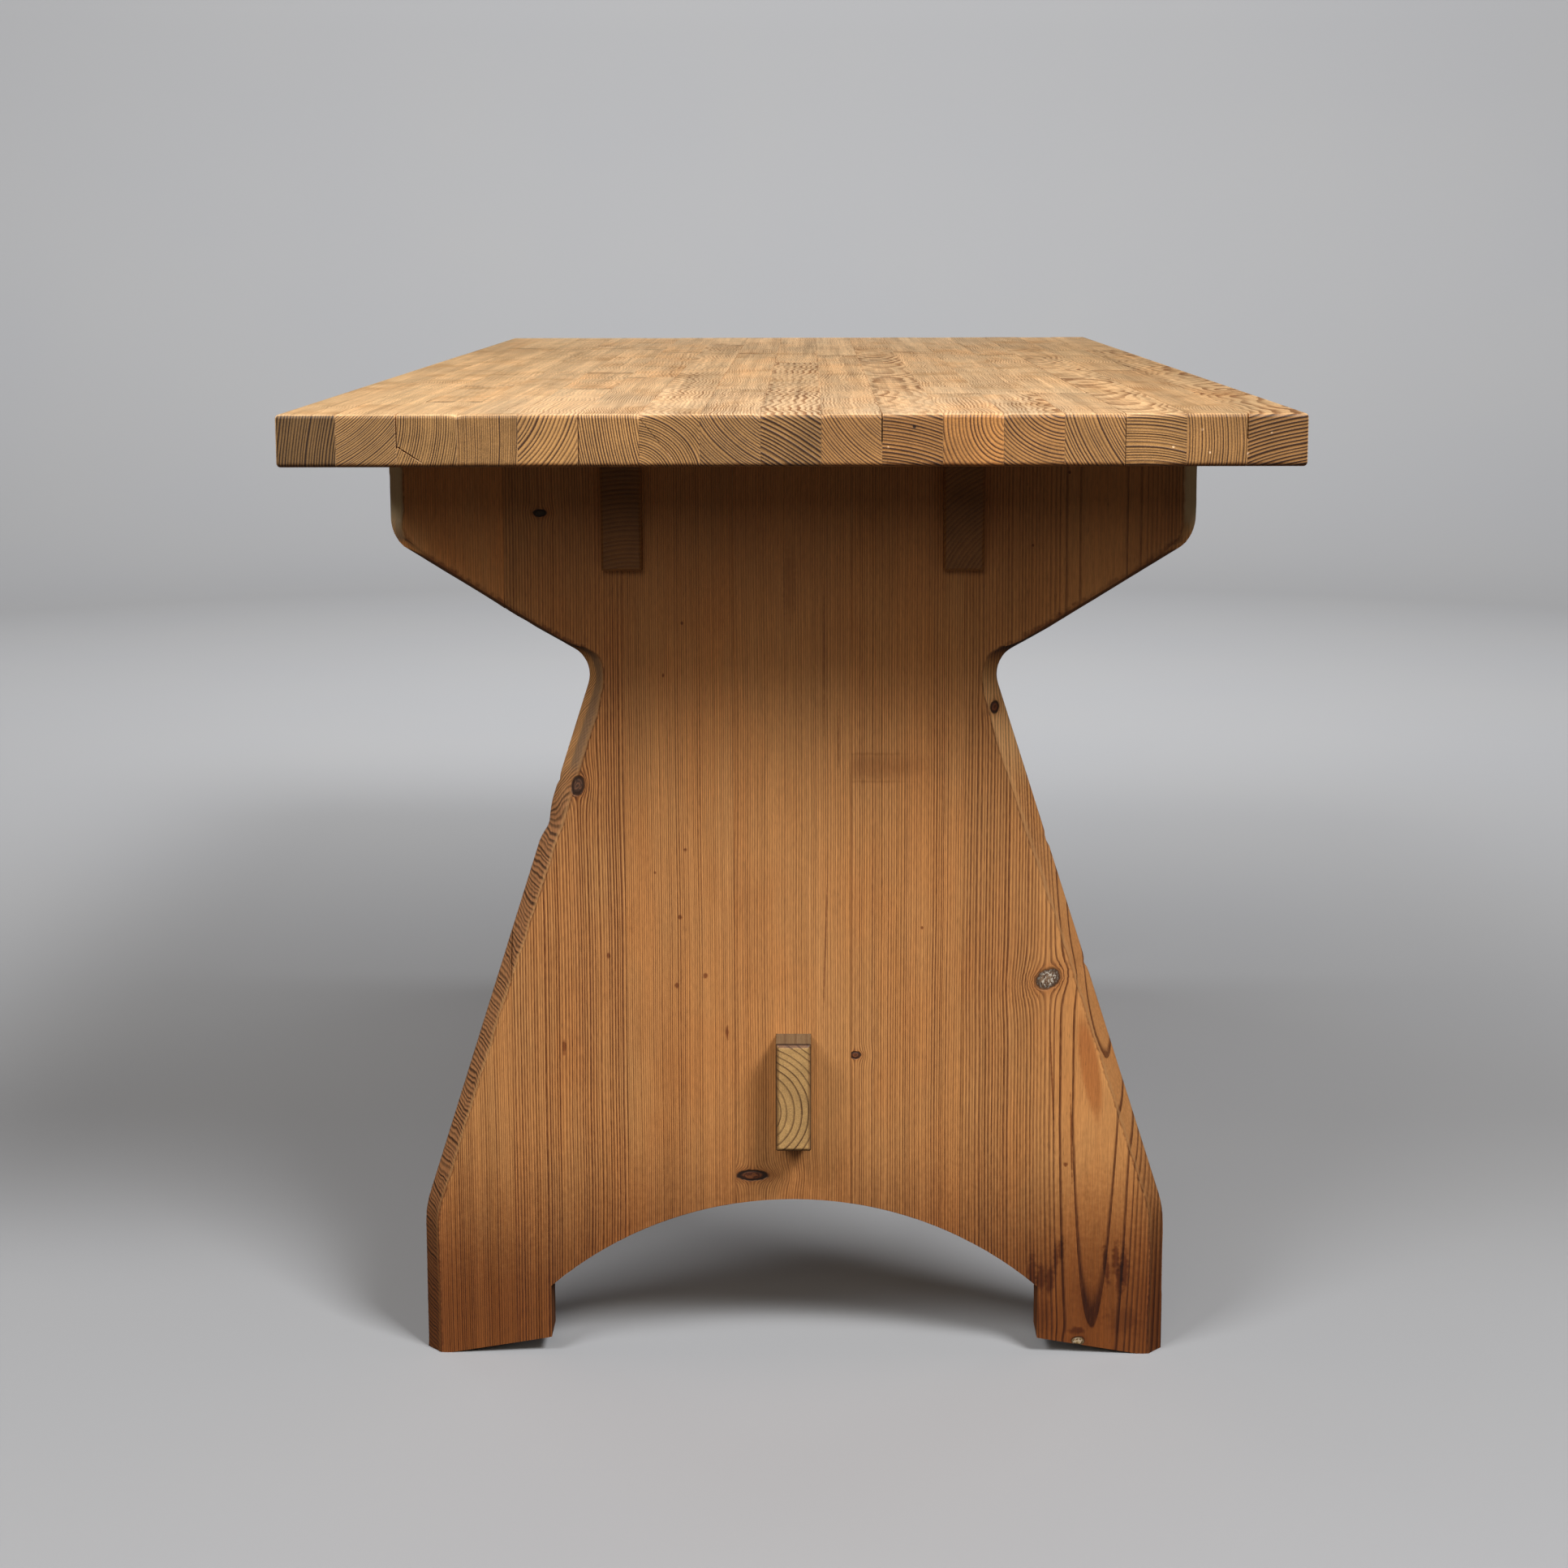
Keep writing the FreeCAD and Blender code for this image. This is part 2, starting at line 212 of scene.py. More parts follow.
# Painted shade on the bevels that face right, towards the key light.
PAINTED_RIGHT_BEVEL_SHADE = rgb(0.72, 0.7, 0.7)
# Painted shade on the bevels that face down under the wings.
PAINTED_UNDER_WING_SHADE = rgb(0.36, 0.3, 0.28)
GRIME = rgb(0.34, 0.23, 0.17)
GLUE_LINE = rgb(0.4, 0.27, 0.18)
MOTTLE = rgb(0.86, 0.77, 0.7)
# Dirt and painted shade near the floor.
FLOOR_DIRT_AND_SHADE = rgb(0.43, 0.31, 0.21)
GREY_TENON = rgb(0.336, 0.404, 0.551)
TENON_BEVEL = rgb(0.34, 0.23, 0.19)
TENON_ARRIS = rgb(0.26, 0.17, 0.13)
RED_STAIN = rgb(0.74, 0.58, 0.46)
GREY_DIRT = rgb(0.62, 0.52, 0.44)
CROSS_STAIN = rgb(0.56, 0.44, 0.35)
OLD_STAIN = rgb(0.6, 0.5, 0.42)
PALE_STREAK = rgb(1.3, 1.38, 1.4)
FOOT_STAIN = rgb(0.4, 0.27, 0.2)
# Painted shade over the right foot.
FOOT_SHADE = rgb(0.78, 0.67, 0.56)


class Pine(Nodes):
    """Pine as a solid: rings about a pith that each block carries, so that every cut shows its own grain."""

    def __init__(self, name, axis):
        super().__init__(name)
        self.at = self.attribute("grain_at")
        self.loose = self.attribute("noise_at")
        self.pitch, self.wave, self.tone = self.split(self.attribute("figure"))
        self.contrast, self.redness, self.end_tone = self.split(self.attribute("look"))
        self.heart = self.split(self.attribute("heart"))[0]
        coordinates = self.add("TexCoord")
        self.place = coordinates.outputs["Object"]
        self.across, self.along, self.up = self.split(self.place)
        self.normal = self.split(coordinates.outputs["Normal"])
        self.slant = self.math("ABSOLUTE", self.normal[1])
        self.end = self.step(self.math("ABSOLUTE", self.normal[axis]), 0.45, 0.85)
        self.ragged = self.minus(self.noise(self.place, 280.0, 280.0), 0.5)
        self.knots = []
        self.ripple = 0.0

    def flecks(self, across, along, detail=1.0, roughness=0.5, three=False):
        """Noise that runs with the grain of each block."""
        return self.noise(self.loose, across, along, detail, roughness, three)

    def way_from(self, spot):
        """The way across and up from the middle of a knot or a mark, and across as it leans."""
        aside, _, above = self.split(self.vector("SUBTRACT", self.place, (spot.x, 0.0, spot.z)))
        return aside, above, self.with_share(above, -spot.tilt, aside)

    def bend_round(self, knot):
        """Leads the grain round a knot and keeps the way from its middle as a share of its size."""
        aside, above, leaning = self.way_from(knot)
        flat = self.join(leaning, self.times(above, knot.across / knot.high), 0.0)
        away = self.math("DIVIDE", self.length(flat), knot.across)
        share = self.with_share(self.ragged, 0.35, away)
        square = self.times(share, share)
        fade = self.math("EXPONENT", self.times(square, -0.05))
        push = self.math("DIVIDE", fade, self.math("MAXIMUM", square, 1.0))
        self.at = self.vector("ADD", self.at, self.join(self.times(aside, push, -knot.pull), 0.0, 0.0))
        self.knots.append((share, knot))

    def turns(self):
        """The number of rings from the pith, bent as trees grow, and how much wider they are than usual."""
        u, v, _ = self.split(self.at)
        slow = self.split(self.flecks(9.0, 4.5, three=True))
        quick = self.split(self.flecks(80.0, 14.0, three=True))
        sways = [(self.with_share(quick[0], 0.09, slow[0]), slow[1], self.wave)]
        if self.ripple:
            swing = self.split(self.flecks(8.0, 15.0, three=True))
            sways.append((swing[0], swing[1], self.ripple))
        for aside, above, size in sways:
            u = self.with_share(self.minus(aside, 0.5), size, u)
            v = self.with_share(self.minus(above, 0.5), size, v)
        out = self.length(self.join(u, v, 0.0))
        beyond = self.minus(out, self.heart)
        soft = self.length(self.join(beyond, self.times(self.heart, 0.22), 0.0))
        grown = self.with_share(out, 0.2, self.times(self.math("ADD", beyond, soft), 0.4))
        slope = self.with_share(self.math("DIVIDE", beyond, soft), 0.4, 0.6)
        return self.math("DIVIDE", grown, self.pitch), self.math("DIVIDE", 1.0, slope)

    def late_wood(self, turns, seed, lines, stretch=1.0):
        """The dark late wood of each ring, from where it starts to where it is full and ends."""
        start, full, end = lines
        spacing = self.fill(self.add("TexNoise", noise_dimensions="1D"), W=turns, Scale=0.3, Detail=1.0)
        turns = self.with_share(spacing.outputs[0], 1.1, turns)
        ring = self.add("TexWhiteNoise", noise_dimensions="1D")
        self.fill(ring, W=self.math("ADD", self.math("FLOOR", turns), seed))
        rest = self.times(self.minus(1.0, self.math("FRACT", turns)), stretch)
        weight = self.with_share(ring.outputs[0], 0.5, 0.55)
        weight = self.math("MAXIMUM", weight, self.step(stretch, 1.15, 1.8))
        return self.times(self.step(rest, 1 - start, 1 - full), self.step(rest, 0.0, 1 - end), weight)

    def wood(self, face, end, faded=1.0, lines=(0.18, 0.72, 0.9), calm=1.0, uneven=0.06, quiet=1.0):
        """Clear wood in early and late colours for its face and its end. Its rings fade in patches."""
        turns, stretch = self.turns()
        fibre = self.flecks(1500.0, 22.0, 2.0, 0.6)
        streak = self.flecks(420.0, 3.2, 3.0, 0.65)
        cloud = self.flecks(24.0, 6.0, 3.0, 0.6)
        band = self.flecks(95.0, 2.5, 2.0, 0.6)
        belt = self.flecks(42.0, 1.6, 2.0, 0.6)
        patch = self.flecks(14.0, 7.0, 2.0, 0.6)
        pore = self.flecks(1300.0, 90.0)
        dash = self.flecks(1700.0, 130.0)
        grit = self.flecks(1700.0, 150.0)
        dark = self.times(
            self.late_wood(turns, self.times(self.pitch, RING_SEED), lines, stretch),
            self.contrast,
            self.step(dash, 0.25, 0.6, 0.72, 1.0),
            self.step(band, 0.3, 0.7, 1.06, 0.9),
            self.math("MAXIMUM", self.step(belt, 0.38, 0.6, calm, 1.06), self.step(stretch, 1.15, 1.8)),
        )
        shown = self.times(dark, self.step(patch, 0.36, 0.62, faded, 1.0), quiet)
        red = self.times(self.redness, self.step(cloud, 0.3, 0.7))
        face_colour = self.mix(red, self.mix(shown, *face), RED_FACE, "MULTIPLY")
        tick = self.times(self.step(dash, 0.66, 0.78), self.step(cloud, 0.35, 0.6, 0.1, 0.4))
        dull = 1 - uneven
        bright = 1 + uneven
        light = self.times(
            self.tone,
            self.step(streak, 0.22, 0.78, dull, bright),
            self.step(band, 0.25, 0.75, dull, bright),
            self.step(cloud, 0.2, 0.8, dull, bright),
            self.step(fibre, 0.2, 0.8, 0.84, 1.12),
            self.step(grit, 0.2, 0.8, 0.88, 1.1),
            self.minus(1.0, tick),
        )
        end_dark = self.math("MINIMUM", self.times(dark, 1.35), 1.0)
        end_light = self.times(
            self.end_tone, self.step(pore, 0.25, 0.75, 0.78, 1.12), self.step(cloud, 0.25, 0.75, 0.76, 1.14),
        )
        end_colour = self.scale(self.mix(end_dark, *end), end_light)
        end_colour = self.mix(self.redness, end_colour, RED_END, "MULTIPLY")
        self.colour = self.mix(self.end, self.scale(face_colour, light), end_colour)
        self.height = self.with_share(fibre, 0.25, self.times(dark, 0.5))
        self.roughness = self.step(streak, 0.2, 0.8, 0.44, 0.6)
        self.cloud = cloud
        self.fibre = fibre

    def tint(self, colour, *factors):
        """Multiplies the wood by a colour as far as all the factors allow."""
        self.colour = self.mix(self.times(*factors), self.colour, colour, "MULTIPLY")

    def cover(self, colour, *factors):
        """Lays a colour over the wood as far as all the factors allow."""
        self.colour = self.mix(self.times(*factors), self.colour, colour)

    def paint_knots(self):
        """Knots with rings of their own, a dark ragged rim and bare splinters."""
        splinter = self.step(self.noise(self.place, 700.0, 420.0, 1.0), 0.52, 0.6)
        for share, knot in self.knots:
            self.tint(KNOT_SHADE, self.step(share, 2.4, 0.9), 0.5)
            wave = self.math("SINE", self.with_share(self.ragged, 14.0, self.times(share, 9.0)))
            body = self.mix(self.step(wave, -1.0, 1.0), knot.dark, knot.light)
            body = self.mix(self.times(splinter, knot.silver), body, SPLINTER)
            self.cover(body, self.step(share, 1.02, 0.88))
            rim = self.times(self.step(share, 0.55, 0.85), self.step(share, 1.25, 1.0))
            self.cover(KNOT_RIM, rim, knot.rim)
            self.height = self.minus(self.height, self.times(rim, 0.8))

    def stain(self, mark):
        """A darker or paler mark on the face."""
        _, above, leaning = self.way_from(mark)
        shares = (self.math("DIVIDE", leaning, mark.across), self.math("DIVIDE", above, mark.high))
        share = self.with_share(self.ragged, mark.rough, self.length(self.join(*shares, 0.0)))
        self.tint(mark.tint, self.step(share, 1.0, mark.core), mark.strength)

    def done(self, depth=0.0003):
        """The finished material."""
        return self.finish(self.colour, self.roughness, self.height, depth)


class Knot(typing.NamedTuple):
    """A knot: its middle, half sizes, lean, how hard it pushes the grain aside, and its colours."""

    x: float
    z: float
    across: float
    high: float
    tilt: float = 0.0
    pull: float = 1.0
    rim: float = 0.9
    dark: tuple = (0.075, 0.022, 0.01, 1.0)
    light: tuple = (0.2, 0.065, 0.022, 1.0)
    silver: float = 0.0


class Mark(typing.NamedTuple):
    """A mark: its middle, half sizes, colour factor, strength, solid share, lean and raggedness."""

    x: float
    z: float
    across: float
    high: float
    tint: tuple = (0.36, 0.22, 0.15, 1.0)
    strength: float = 0.9
    core: float = 0.35
    tilt: float = 0.0
    rough: float = 0.9


def marks(rows, *look):
    """Marks of one look, from rows of their middles and half sizes."""
    return tuple(Mark(*row, *look) for row in rows)


# A nail hole and pale specks in the near end of the top.
FRONT_SPECKS = (
    (0.0659, 0.7274, 0.001, 0.0014), (0.2586, 0.7274, 0.0012, 0.001), (0.2779, 0.739, 0.001, 0.0012),
    (0.2834, 0.7236, 0.0013, 0.001), (0.3093, 0.7225, 0.0011, 0.0012), (0.3247, 0.7373, 0.001, 0.0011),
)
FRONT_MARKS = (Mark(0.0835, 0.7412, 0.0016, 0.0014, NAIL_HOLE, 1.0, 0.6), *marks(FRONT_SPECKS, PALE_SPECK))


def make_top_pine():
    """Pale scrubbed pine, with dirt in its butt joints and dark end grain, and painted shade towards its far
    end.
    """
    p = Pine("top_pine", 1)
    p.ripple = 0.014
    face = (rgb(0.8, 0.535, 0.29), rgb(0.33, 0.16, 0.066))
    end = (rgb(0.5, 0.285, 0.104), rgb(0.06, 0.024, 0.009))
    quiet = p.step(p.across, -0.24, -0.06, 0.55, 1.12)
    p.wood(face, end, 0.4, (0.3, 0.8, 0.92), uneven=0.13, quiet=quiet)
    on_top = p.step(p.end, 0.2, 0.0)
    aside = p.math("ABSOLUTE", p.across)
    p.tint(SCRUBBED_MIDDLE, p.step(p.along, -0.25, -0.66), p.step(aside, 0.26, 0.12), on_top)
    p.tint(GREASY_SIDE, p.step(aside, 0.16, 0.3), on_top)
    # Painted shade: the top grows darker towards its far end.
    p.tint(PAINTED_FAR_END_SHADE, p.step(p.along, 0.1, 0.7), on_top)
    p.tint(BLOTCH, p.step(p.flecks(16.0, 11.0, 3.0, 0.6), 0.5, 0.7), on_top, 0.8)
    p.tint(SCUFF, p.step(p.flecks(14.0, 210.0, 2.0, 0.6), 0.58, 0.7), on_top, 0.55)
    near, far, joint = p.split(p.attribute("ends_at"))
    close = p.with_share(p.ragged, 0.006, p.math("MINIMUM", near, far))
    broken = p.step(p.flecks(34.0, 10.0), 0.44, 0.5)
    p.cover(JOINT_DIRT, p.step(close, 0.0065, 0.0025), broken, joint, on_top)
    p.tint(JOINT_SMUDGE, p.step(close, 0.075, 0.0), p.step(p.cloud, 0.5, 0.66), joint, 0.75)
    p.tint(LOWER_ARRIS, p.step(p.with_share(p.ragged, 0.004, p.up), 0.7185, 0.7145))
    for mark in FRONT_MARKS:
        p.stain(mark)
    return p.done(0.00035)


def ring_strip(p, face, inward):
    """Fine rings across the bevel of a slanting edge, which cuts them nearly endways."""
    left = p.minus(1.0, p.times(p.minus(p.along, face), inward / END_BEVEL))
    bow = p.times(left, p.step(p.up, 0.4, 0.47, 0.008, -0.024))
    bow = p.with_share(p.noise(p.place, 60.0, 22.0), 0.01, bow)
    turns = p.math("DIVIDE", p.math("ADD", p.up, bow), 0.0034)
    lines = p.late_wood(turns, 17.0, (0.25, 0.66, 0.84))
    upper = p.step(p.up, 0.43, 0.49)
    early = p.mix(upper, rgb(0.4, 0.18, 0.072), rgb(0.82, 0.43, 0.165))
    late = p.mix(upper, rgb(0.024, 0.009, 0.004), rgb(0.31, 0.135, 0.048))
    colour = p.scale(p.mix(lines, early, late), p.step(p.fibre, 0.2, 0.8, 0.85, 1.12))
    grey = p.times(p.step(left, 0.4, 0.58), p.step(p.up, 0.46, 0.475), 0.8)
    colour = p.mix(grey, colour, GREY_BEVEL)
    p.cover(colour, p.step(p.slant, 0.93, 0.84), p.step(p.normal[0], -0.25, -0.45), 0.92)


def wear_arris(p):
    """Rubbed arrises along the bevels and dirt in their hollows, with painted shade on the bevels that face
    right and on those under the wings, and painted light on the right bevel at the waist, which is also bare
    dry wood, and on the wings' upright bevels.
    """
    gap = p.with_share(p.ragged, 0.003, p.split(p.attribute("arris_at"))[0])
    bevel = p.step(p.slant, 0.93, 0.84)
    p.cover(RUBBED_ARRIS, p.step(gap, 0.0032, 0.0004), p.step(p.slant, 0.98, 0.86, 0.15, 0.65))
    right = p.times(p.step(p.normal[0], 0.25, 0.45), bevel, p.step(p.up, 0.56, 0.53))
    # Painted shade: darkens the bevels that face right, below the waist.
    p.tint(PAINTED_RIGHT_BEVEL_SHADE, right, p.step(p.up, 0.45, 0.4))
    # Paler wood on the right bevel at the waist: partly bare dry wood, partly painted light on a face that
    # the top shades.
    dry = p.mix(p.step(p.height, 0.15, 0.6), rgb(0.95, 0.53, 0.22), rgb(0.5, 0.26, 0.11))
    p.cover(dry, right, p.step(p.up, 0.448, 0.502, 0.0, 0.9))
    upright = p.step(p.math("ABSOLUTE", p.normal[0]), 0.35, 0.55)
    # Painted light: this pale colour lights the wings' upright bevels as light from the sides would.
    bare = p.mix(p.step(p.fibre, 0.2, 0.8), rgb(0.73, 0.56, 0.31), rgb(0.9, 0.69, 0.39))
    p.cover(bare, upright, bevel, p.step(p.up, 0.645, 0.665), p.step(gap, 0.0, 0.004, 0.35, 0.92))
    # Painted shade: darkens the downward-facing bevels under the wings.
    p.tint(PAINTED_UNDER_WING_SHADE, p.step(p.normal[2], -0.2, -0.4), bevel, p.step(p.up, 0.54, 0.57))
    patchy = p.step(p.cloud, 0.35, 0.6, 0.25, 0.85)
    p.tint(GRIME, p.step(gap, 0.0016, 0.0), p.step(p.slant, 0.8, 0.93, 0.3, 1.0), patchy)


def darken_seams(p, seams):
    """Thin dark glue lines between boards."""
    strength = p.step(p.noise(p.place, 40.0, 14.0), 0.35, 0.6, 0.08, 0.42)
    for seam in seams:
        gap = p.math("ABSOLUTE", p.minus(p.across, seam))
        p.tint(GLUE_LINE, p.step(gap, 0.0008, 0.0002), strength)


def make_end_pine(name, knots, stains, seams, face, inward, left_edge):
    """Orange-brown oiled pine, darker near the floor from dirt and painted shade."""
    p = Pine(name, 2)
    for knot in knots:
        p.bend_round(knot)
    long_grain = (rgb(0.655, 0.31, 0.104), rgb(0.165, 0.054, 0.015))
    end_grain = (rgb(0.3, 0.125, 0.042), rgb(0.1, 0.036, 0.012))
    # The rings are painted fainter high up on the ends, as the shade under the top would hide them: painted
    # shade.
    quiet = p.step(p.up, 0.6, 0.5, 0.62, 1.0)
    p.wood(long_grain, end_grain, lines=(0.1, 0.7, 0.92), calm=0.88, uneven=0.025, quiet=quiet)
    p.tint(MOTTLE, p.step(p.noise(p.place, 8.0, 6.0, 4.0, 0.6), 0.46, 0.66), 0.45)
    if left_edge:
        ring_strip(p, face, inward)
    wear_arris(p)
    darken_seams(p, seams)
    # Darker near the floor: partly dirt, partly painted shade.
    p.tint(FLOOR_DIRT_AND_SHADE, p.step(p.with_share(p.ragged, 0.05, p.up), 0.2, 0.04))
    p.paint_knots()
    for mark in stains:
        p.stain(mark)
    return p.done()


def make_rail_pine():
    """Reddish pine of the rails, with dull ends."""
    p = Pine("rail_pine", 1)
    long_grain = (rgb(0.46, 0.225, 0.08), rgb(0.2, 0.075, 0.022))
    end_grain = (rgb(0.5, 0.295, 0.112), rgb(0.22, 0.095, 0.032))
    p.wood(long_grain, end_grain)
    return p.done()


def make_stretcher_pine():
    """Pale pine of the stretcher, with thin rings on its tenons and dirty arrises."""
    p = Pine("stretcher_pine", 1)
    long_grain = (rgb(0.5, 0.265, 0.098), rgb(0.298, 0.134, 0.049))
    end_grain = (rgb(0.53, 0.32, 0.122), rgb(0.1, 0.043, 0.015))
    p.wood(long_grain, end_grain, lines=(0.62, 0.92, 0.97))
    out = p.step(p.math("ABSOLUTE", p.along), 0.5, 0.52)
    p.tint(GREY_TENON, out, p.minus(1.0, p.end))
    upper = p.step(p.normal[2], 0.2, 0.5, 0.35, 0.95)
    p.tint(TENON_BEVEL, p.step(p.slant, 0.15, 0.4), p.step(p.slant, 0.97, 0.85), upper)
    patchy = p.step(p.cloud, 0.3, 0.6, 0.5, 0.95)
    p.tint(TENON_ARRIS, p.step(p.slant, 0.03, 0.16), p.step(p.slant, 0.68, 0.45), patchy)
    return p.done()


def make_steel():
    """Zinc-plated steel, dulled by age."""
    n = Nodes("zinc_steel")
    place = n.add("TexCoord").outputs["Object"]
    cloud = n.noise(place, 240.0, 240.0, 3.0, 0.6)
    grain = n.noise(place, 2600.0, 900.0)
    colour = n.mix(n.step(cloud, 0.35, 0.7), rgb(0.46, 0.45, 0.42), rgb(0.26, 0.24, 0.21))
    return n.finish(colour, n.step(grain, 0.2, 0.8, 0.3, 0.5), grain, 0.00003, 1.0)


def welded(faces):
    """A mesh of some of a node's faces, closed along its edges and with its flat faces whole."""
    bm = bmesh.new()
    for corners in faces:
        bm.faces.new([bm.verts.new(corner) for corner in corners])
    bmesh.ops.remove_doubles(bm, verts=bm.verts, dist=WELD)
    bmesh.ops.dissolve_limit(bm, angle_limit=FLAT_ANGLE, verts=bm.verts, edges=bm.edges)
    return bm


def node_faces(node):
    """Each face of a CAD node as its middle, its normal, its area and its corners."""
    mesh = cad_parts[node].data
    for face in mesh.polygons:
        corners = [mesh.vertices[index].co.copy() for index in face.vertices]
        yield face.center.copy(), face.normal.copy(), face.area, corners


def bevel(bm, edges, width, segments, profile):
    """Cuts a bevel along some edges of a mesh."""
    bmesh.ops.bevel(
        bm, geom=edges, offset=width, offset_type="OFFSET", segments=segments, profile=profile,
        affect="EDGES", clamp_overlap=True,
    )


def ease_arrises(bm, width, chosen=lambda edge: True, segments=1, angle=ARRIS_ANGLE):
    """Takes the sharpness off the edges of a mesh."""
    corners = [edge for edge in bm.edges if len(edge.link_faces) == 2 and edge.calc_face_angle() > angle]
    bevel(bm, [edge for edge in corners if chosen(edge)], width, segments, 0.5)


def slants(edge):
    """How far the faces at an edge look along the table, the least first."""
    return sorted(abs(face.normal.y) for face in edge.link_faces)


def is_bevel(slant):
    """Whether a face that looks so far along the table is a bevel of an end."""
    return 0.5 < slant < 0.85


def on_face_arris(edge):
    """Whether an edge lies between a broad face of an end and a bevel."""
    both = slants(edge)
    return len(both) == 2 and both[1] > 0.99 and is_bevel(both[0])


def on_side_arris(edge):
    """Whether an edge lies between a bevel and the side of an end."""
    both = slants(edge)
    return len(both) == 2 and both[0] < 0.1 and is_bevel(both[1])


def support_arrises(bm, chosen, room):
    """Lays a line of vertices along either side of some arrises, so that wear stays next to them."""
    bevel(bm, [edge for edge in bm.edges if chosen(edge)], room, 2, 1.0)


def roughness_at(place, size):
    """A number between about -1 and 1, times a size, that varies along an arris at two scales."""
    broad = noise.noise(place * 38.0)
    fine = noise.noise(place * 140.0 + Vector((7.0, 3.0, 5.0)))
    return size * (0.62 * broad + 0.5 * fine)


def ramp(value, start, stop):
    """Goes straight from 0 to 1 while a number goes from start to stop."""
    return min(1.0, max(0.0, (value - start) / (stop - start)))


def bevel_width_at(place):
    """How much wider than drawn the bevel was worked: most at the upper end of the slanting sides."""
    return 0.0026 * ramp(place.z, 0.3, 0.43) * ramp(place.z, 0.535, 0.505)


def narrowing_at(place):
    """By what share the bevel is narrower than drawn: only under the wings, where it was hardly worked."""
    return 0.74 * ramp(place.z, 0.556, 0.576) * ramp(place.z, 0.66, 0.64)


def narrow_bevels(bm, faces):
    """Draws the bevels under the wings towards the corner that they were cut from."""
    moves = []
    for vert in bm.verts:
        share = narrowing_at(vert.co)
        normals = [face.normal for face in vert.link_faces if is_bevel(abs(face.normal.y))]
        if not share or not normals:
            continue
        normal = sum(normals, Vector()).normalized()
        out = Vector((normal.x, 0.0, normal.z)).normalized()
        plane = faces[1] if normal.y > 0 else faces[0]
        depth = abs(plane - vert.co.y)
        reach = max(0.0, END_BEVEL - depth)
        aside = out * reach
        if abs(out.z) > 0.8:
            aside = Vector((0.0, 0.0, reach / out.z))
        moves.append((vert, share * (aside + Vector((0.0, plane - vert.co.y, 0.0)))))
    for vert, move in moves:
        vert.co += move


def wear_face_arrises(bm, amount):
    """Shifts the inner line of the bevels to and fro in the broad face."""
    verts = {vert for edge in bm.edges if on_face_arris(edge) for vert in edge.verts}
    moves = []
    for vert in verts:
        for edge in vert.link_edges:
            other = edge.other_vert(vert)
            step = other.co - vert.co
            if other not in verts and abs(step.y) < WELD and step.length < 1.3 * FACE_ROOM:
                move = bevel_width_at(vert.co) + roughness_at(vert.co, amount)
                moves.append((vert, step.normalized() * move))
                break
    for vert, move in moves:
        vert.co += move
    return [vert.co.copy() for vert in verts]


def wear_side_arrises(bm, amount):
    """Rounds the outer line of the bevels unevenly."""
    verts = {}
    for edge in bm.edges:
        if on_side_arris(edge):
            side = min(edge.link_faces, key=lambda face: abs(face.normal.y))
            for vert in edge.verts:
                verts[vert] = side.normal.copy()
    for vert, out in verts.items():
        vert.co -= out * max(0.0, 0.5 * amount + roughness_at(vert.co, 0.5 * amount))


class Chip(typing.NamedTuple):
    """A break in an outer edge: the side, its low end, where it is deepest, its high end and its depth."""

    side: int
    low: float
    deepest: float
    high: float
    depth: float

    def depth_at(self, place):
        """How far the edge is broken back at a place."""
        if place.x * self.side < 0:
            return 0.0
        below = ramp(place.z, self.low, self.deepest)
        above = ramp(place.z, self.high, self.deepest)
        return self.depth * below * above ** 1.5


def break_edges(bm, face, inward, thickness, chips):
    """Breaks chips out of the outer edges, from the bevel of the near face through the side."""
    for vert in bm.verts:
        depth = (vert.co.y - face) * inward
        share = min(ramp(depth, 0.0, END_BEVEL), ramp(depth, thickness, thickness - END_BEVEL))
        for chip in chips:
            vert.co.x -= chip.side * chip.depth_at(vert.co) * share


def arris_gap(points):
    """How far a place is from the worn inner line of the bevels."""
    tree = kdtree.KDTree(len(points))
    for index, point in enumerate(points):
        tree.insert(point, index)
    tree.balance()
    return lambda place: (min(tree.find(place)[2], ARRIS_REACH), 0.0, 0.0)


def cut_rows(bm, axis, places):
    """Cuts a mesh across an axis at each place."""
    across = Vector((0.0, 0.0, 0.0))
    across[axis] = 1.0
    for place in places:
        geom = bm.verts[:] + bm.edges[:] + bm.faces[:]
        bmesh.ops.bisect_plane(bm, geom=geom, dist=WELD, plane_co=across * place, plane_no=across)


def spread(low, high, pitch):
    """Places between two ends, evenly apart."""
    count = max(1, round((high - low) / pitch))
    return [low + (high - low) * step / count for step in range(1, count)]


def write_grain(mesh, first, last, values):
    """Writes a block's grain onto a run of vertices."""
    for name, value in values.items():
        layer = mesh.attributes.get(name) or mesh.attributes.new(name, "FLOAT_VECTOR", "POINT")
        for index in range(first, last):
            layer.data[index].vector = value(mesh.vertices[index].co) if callable(value) else value


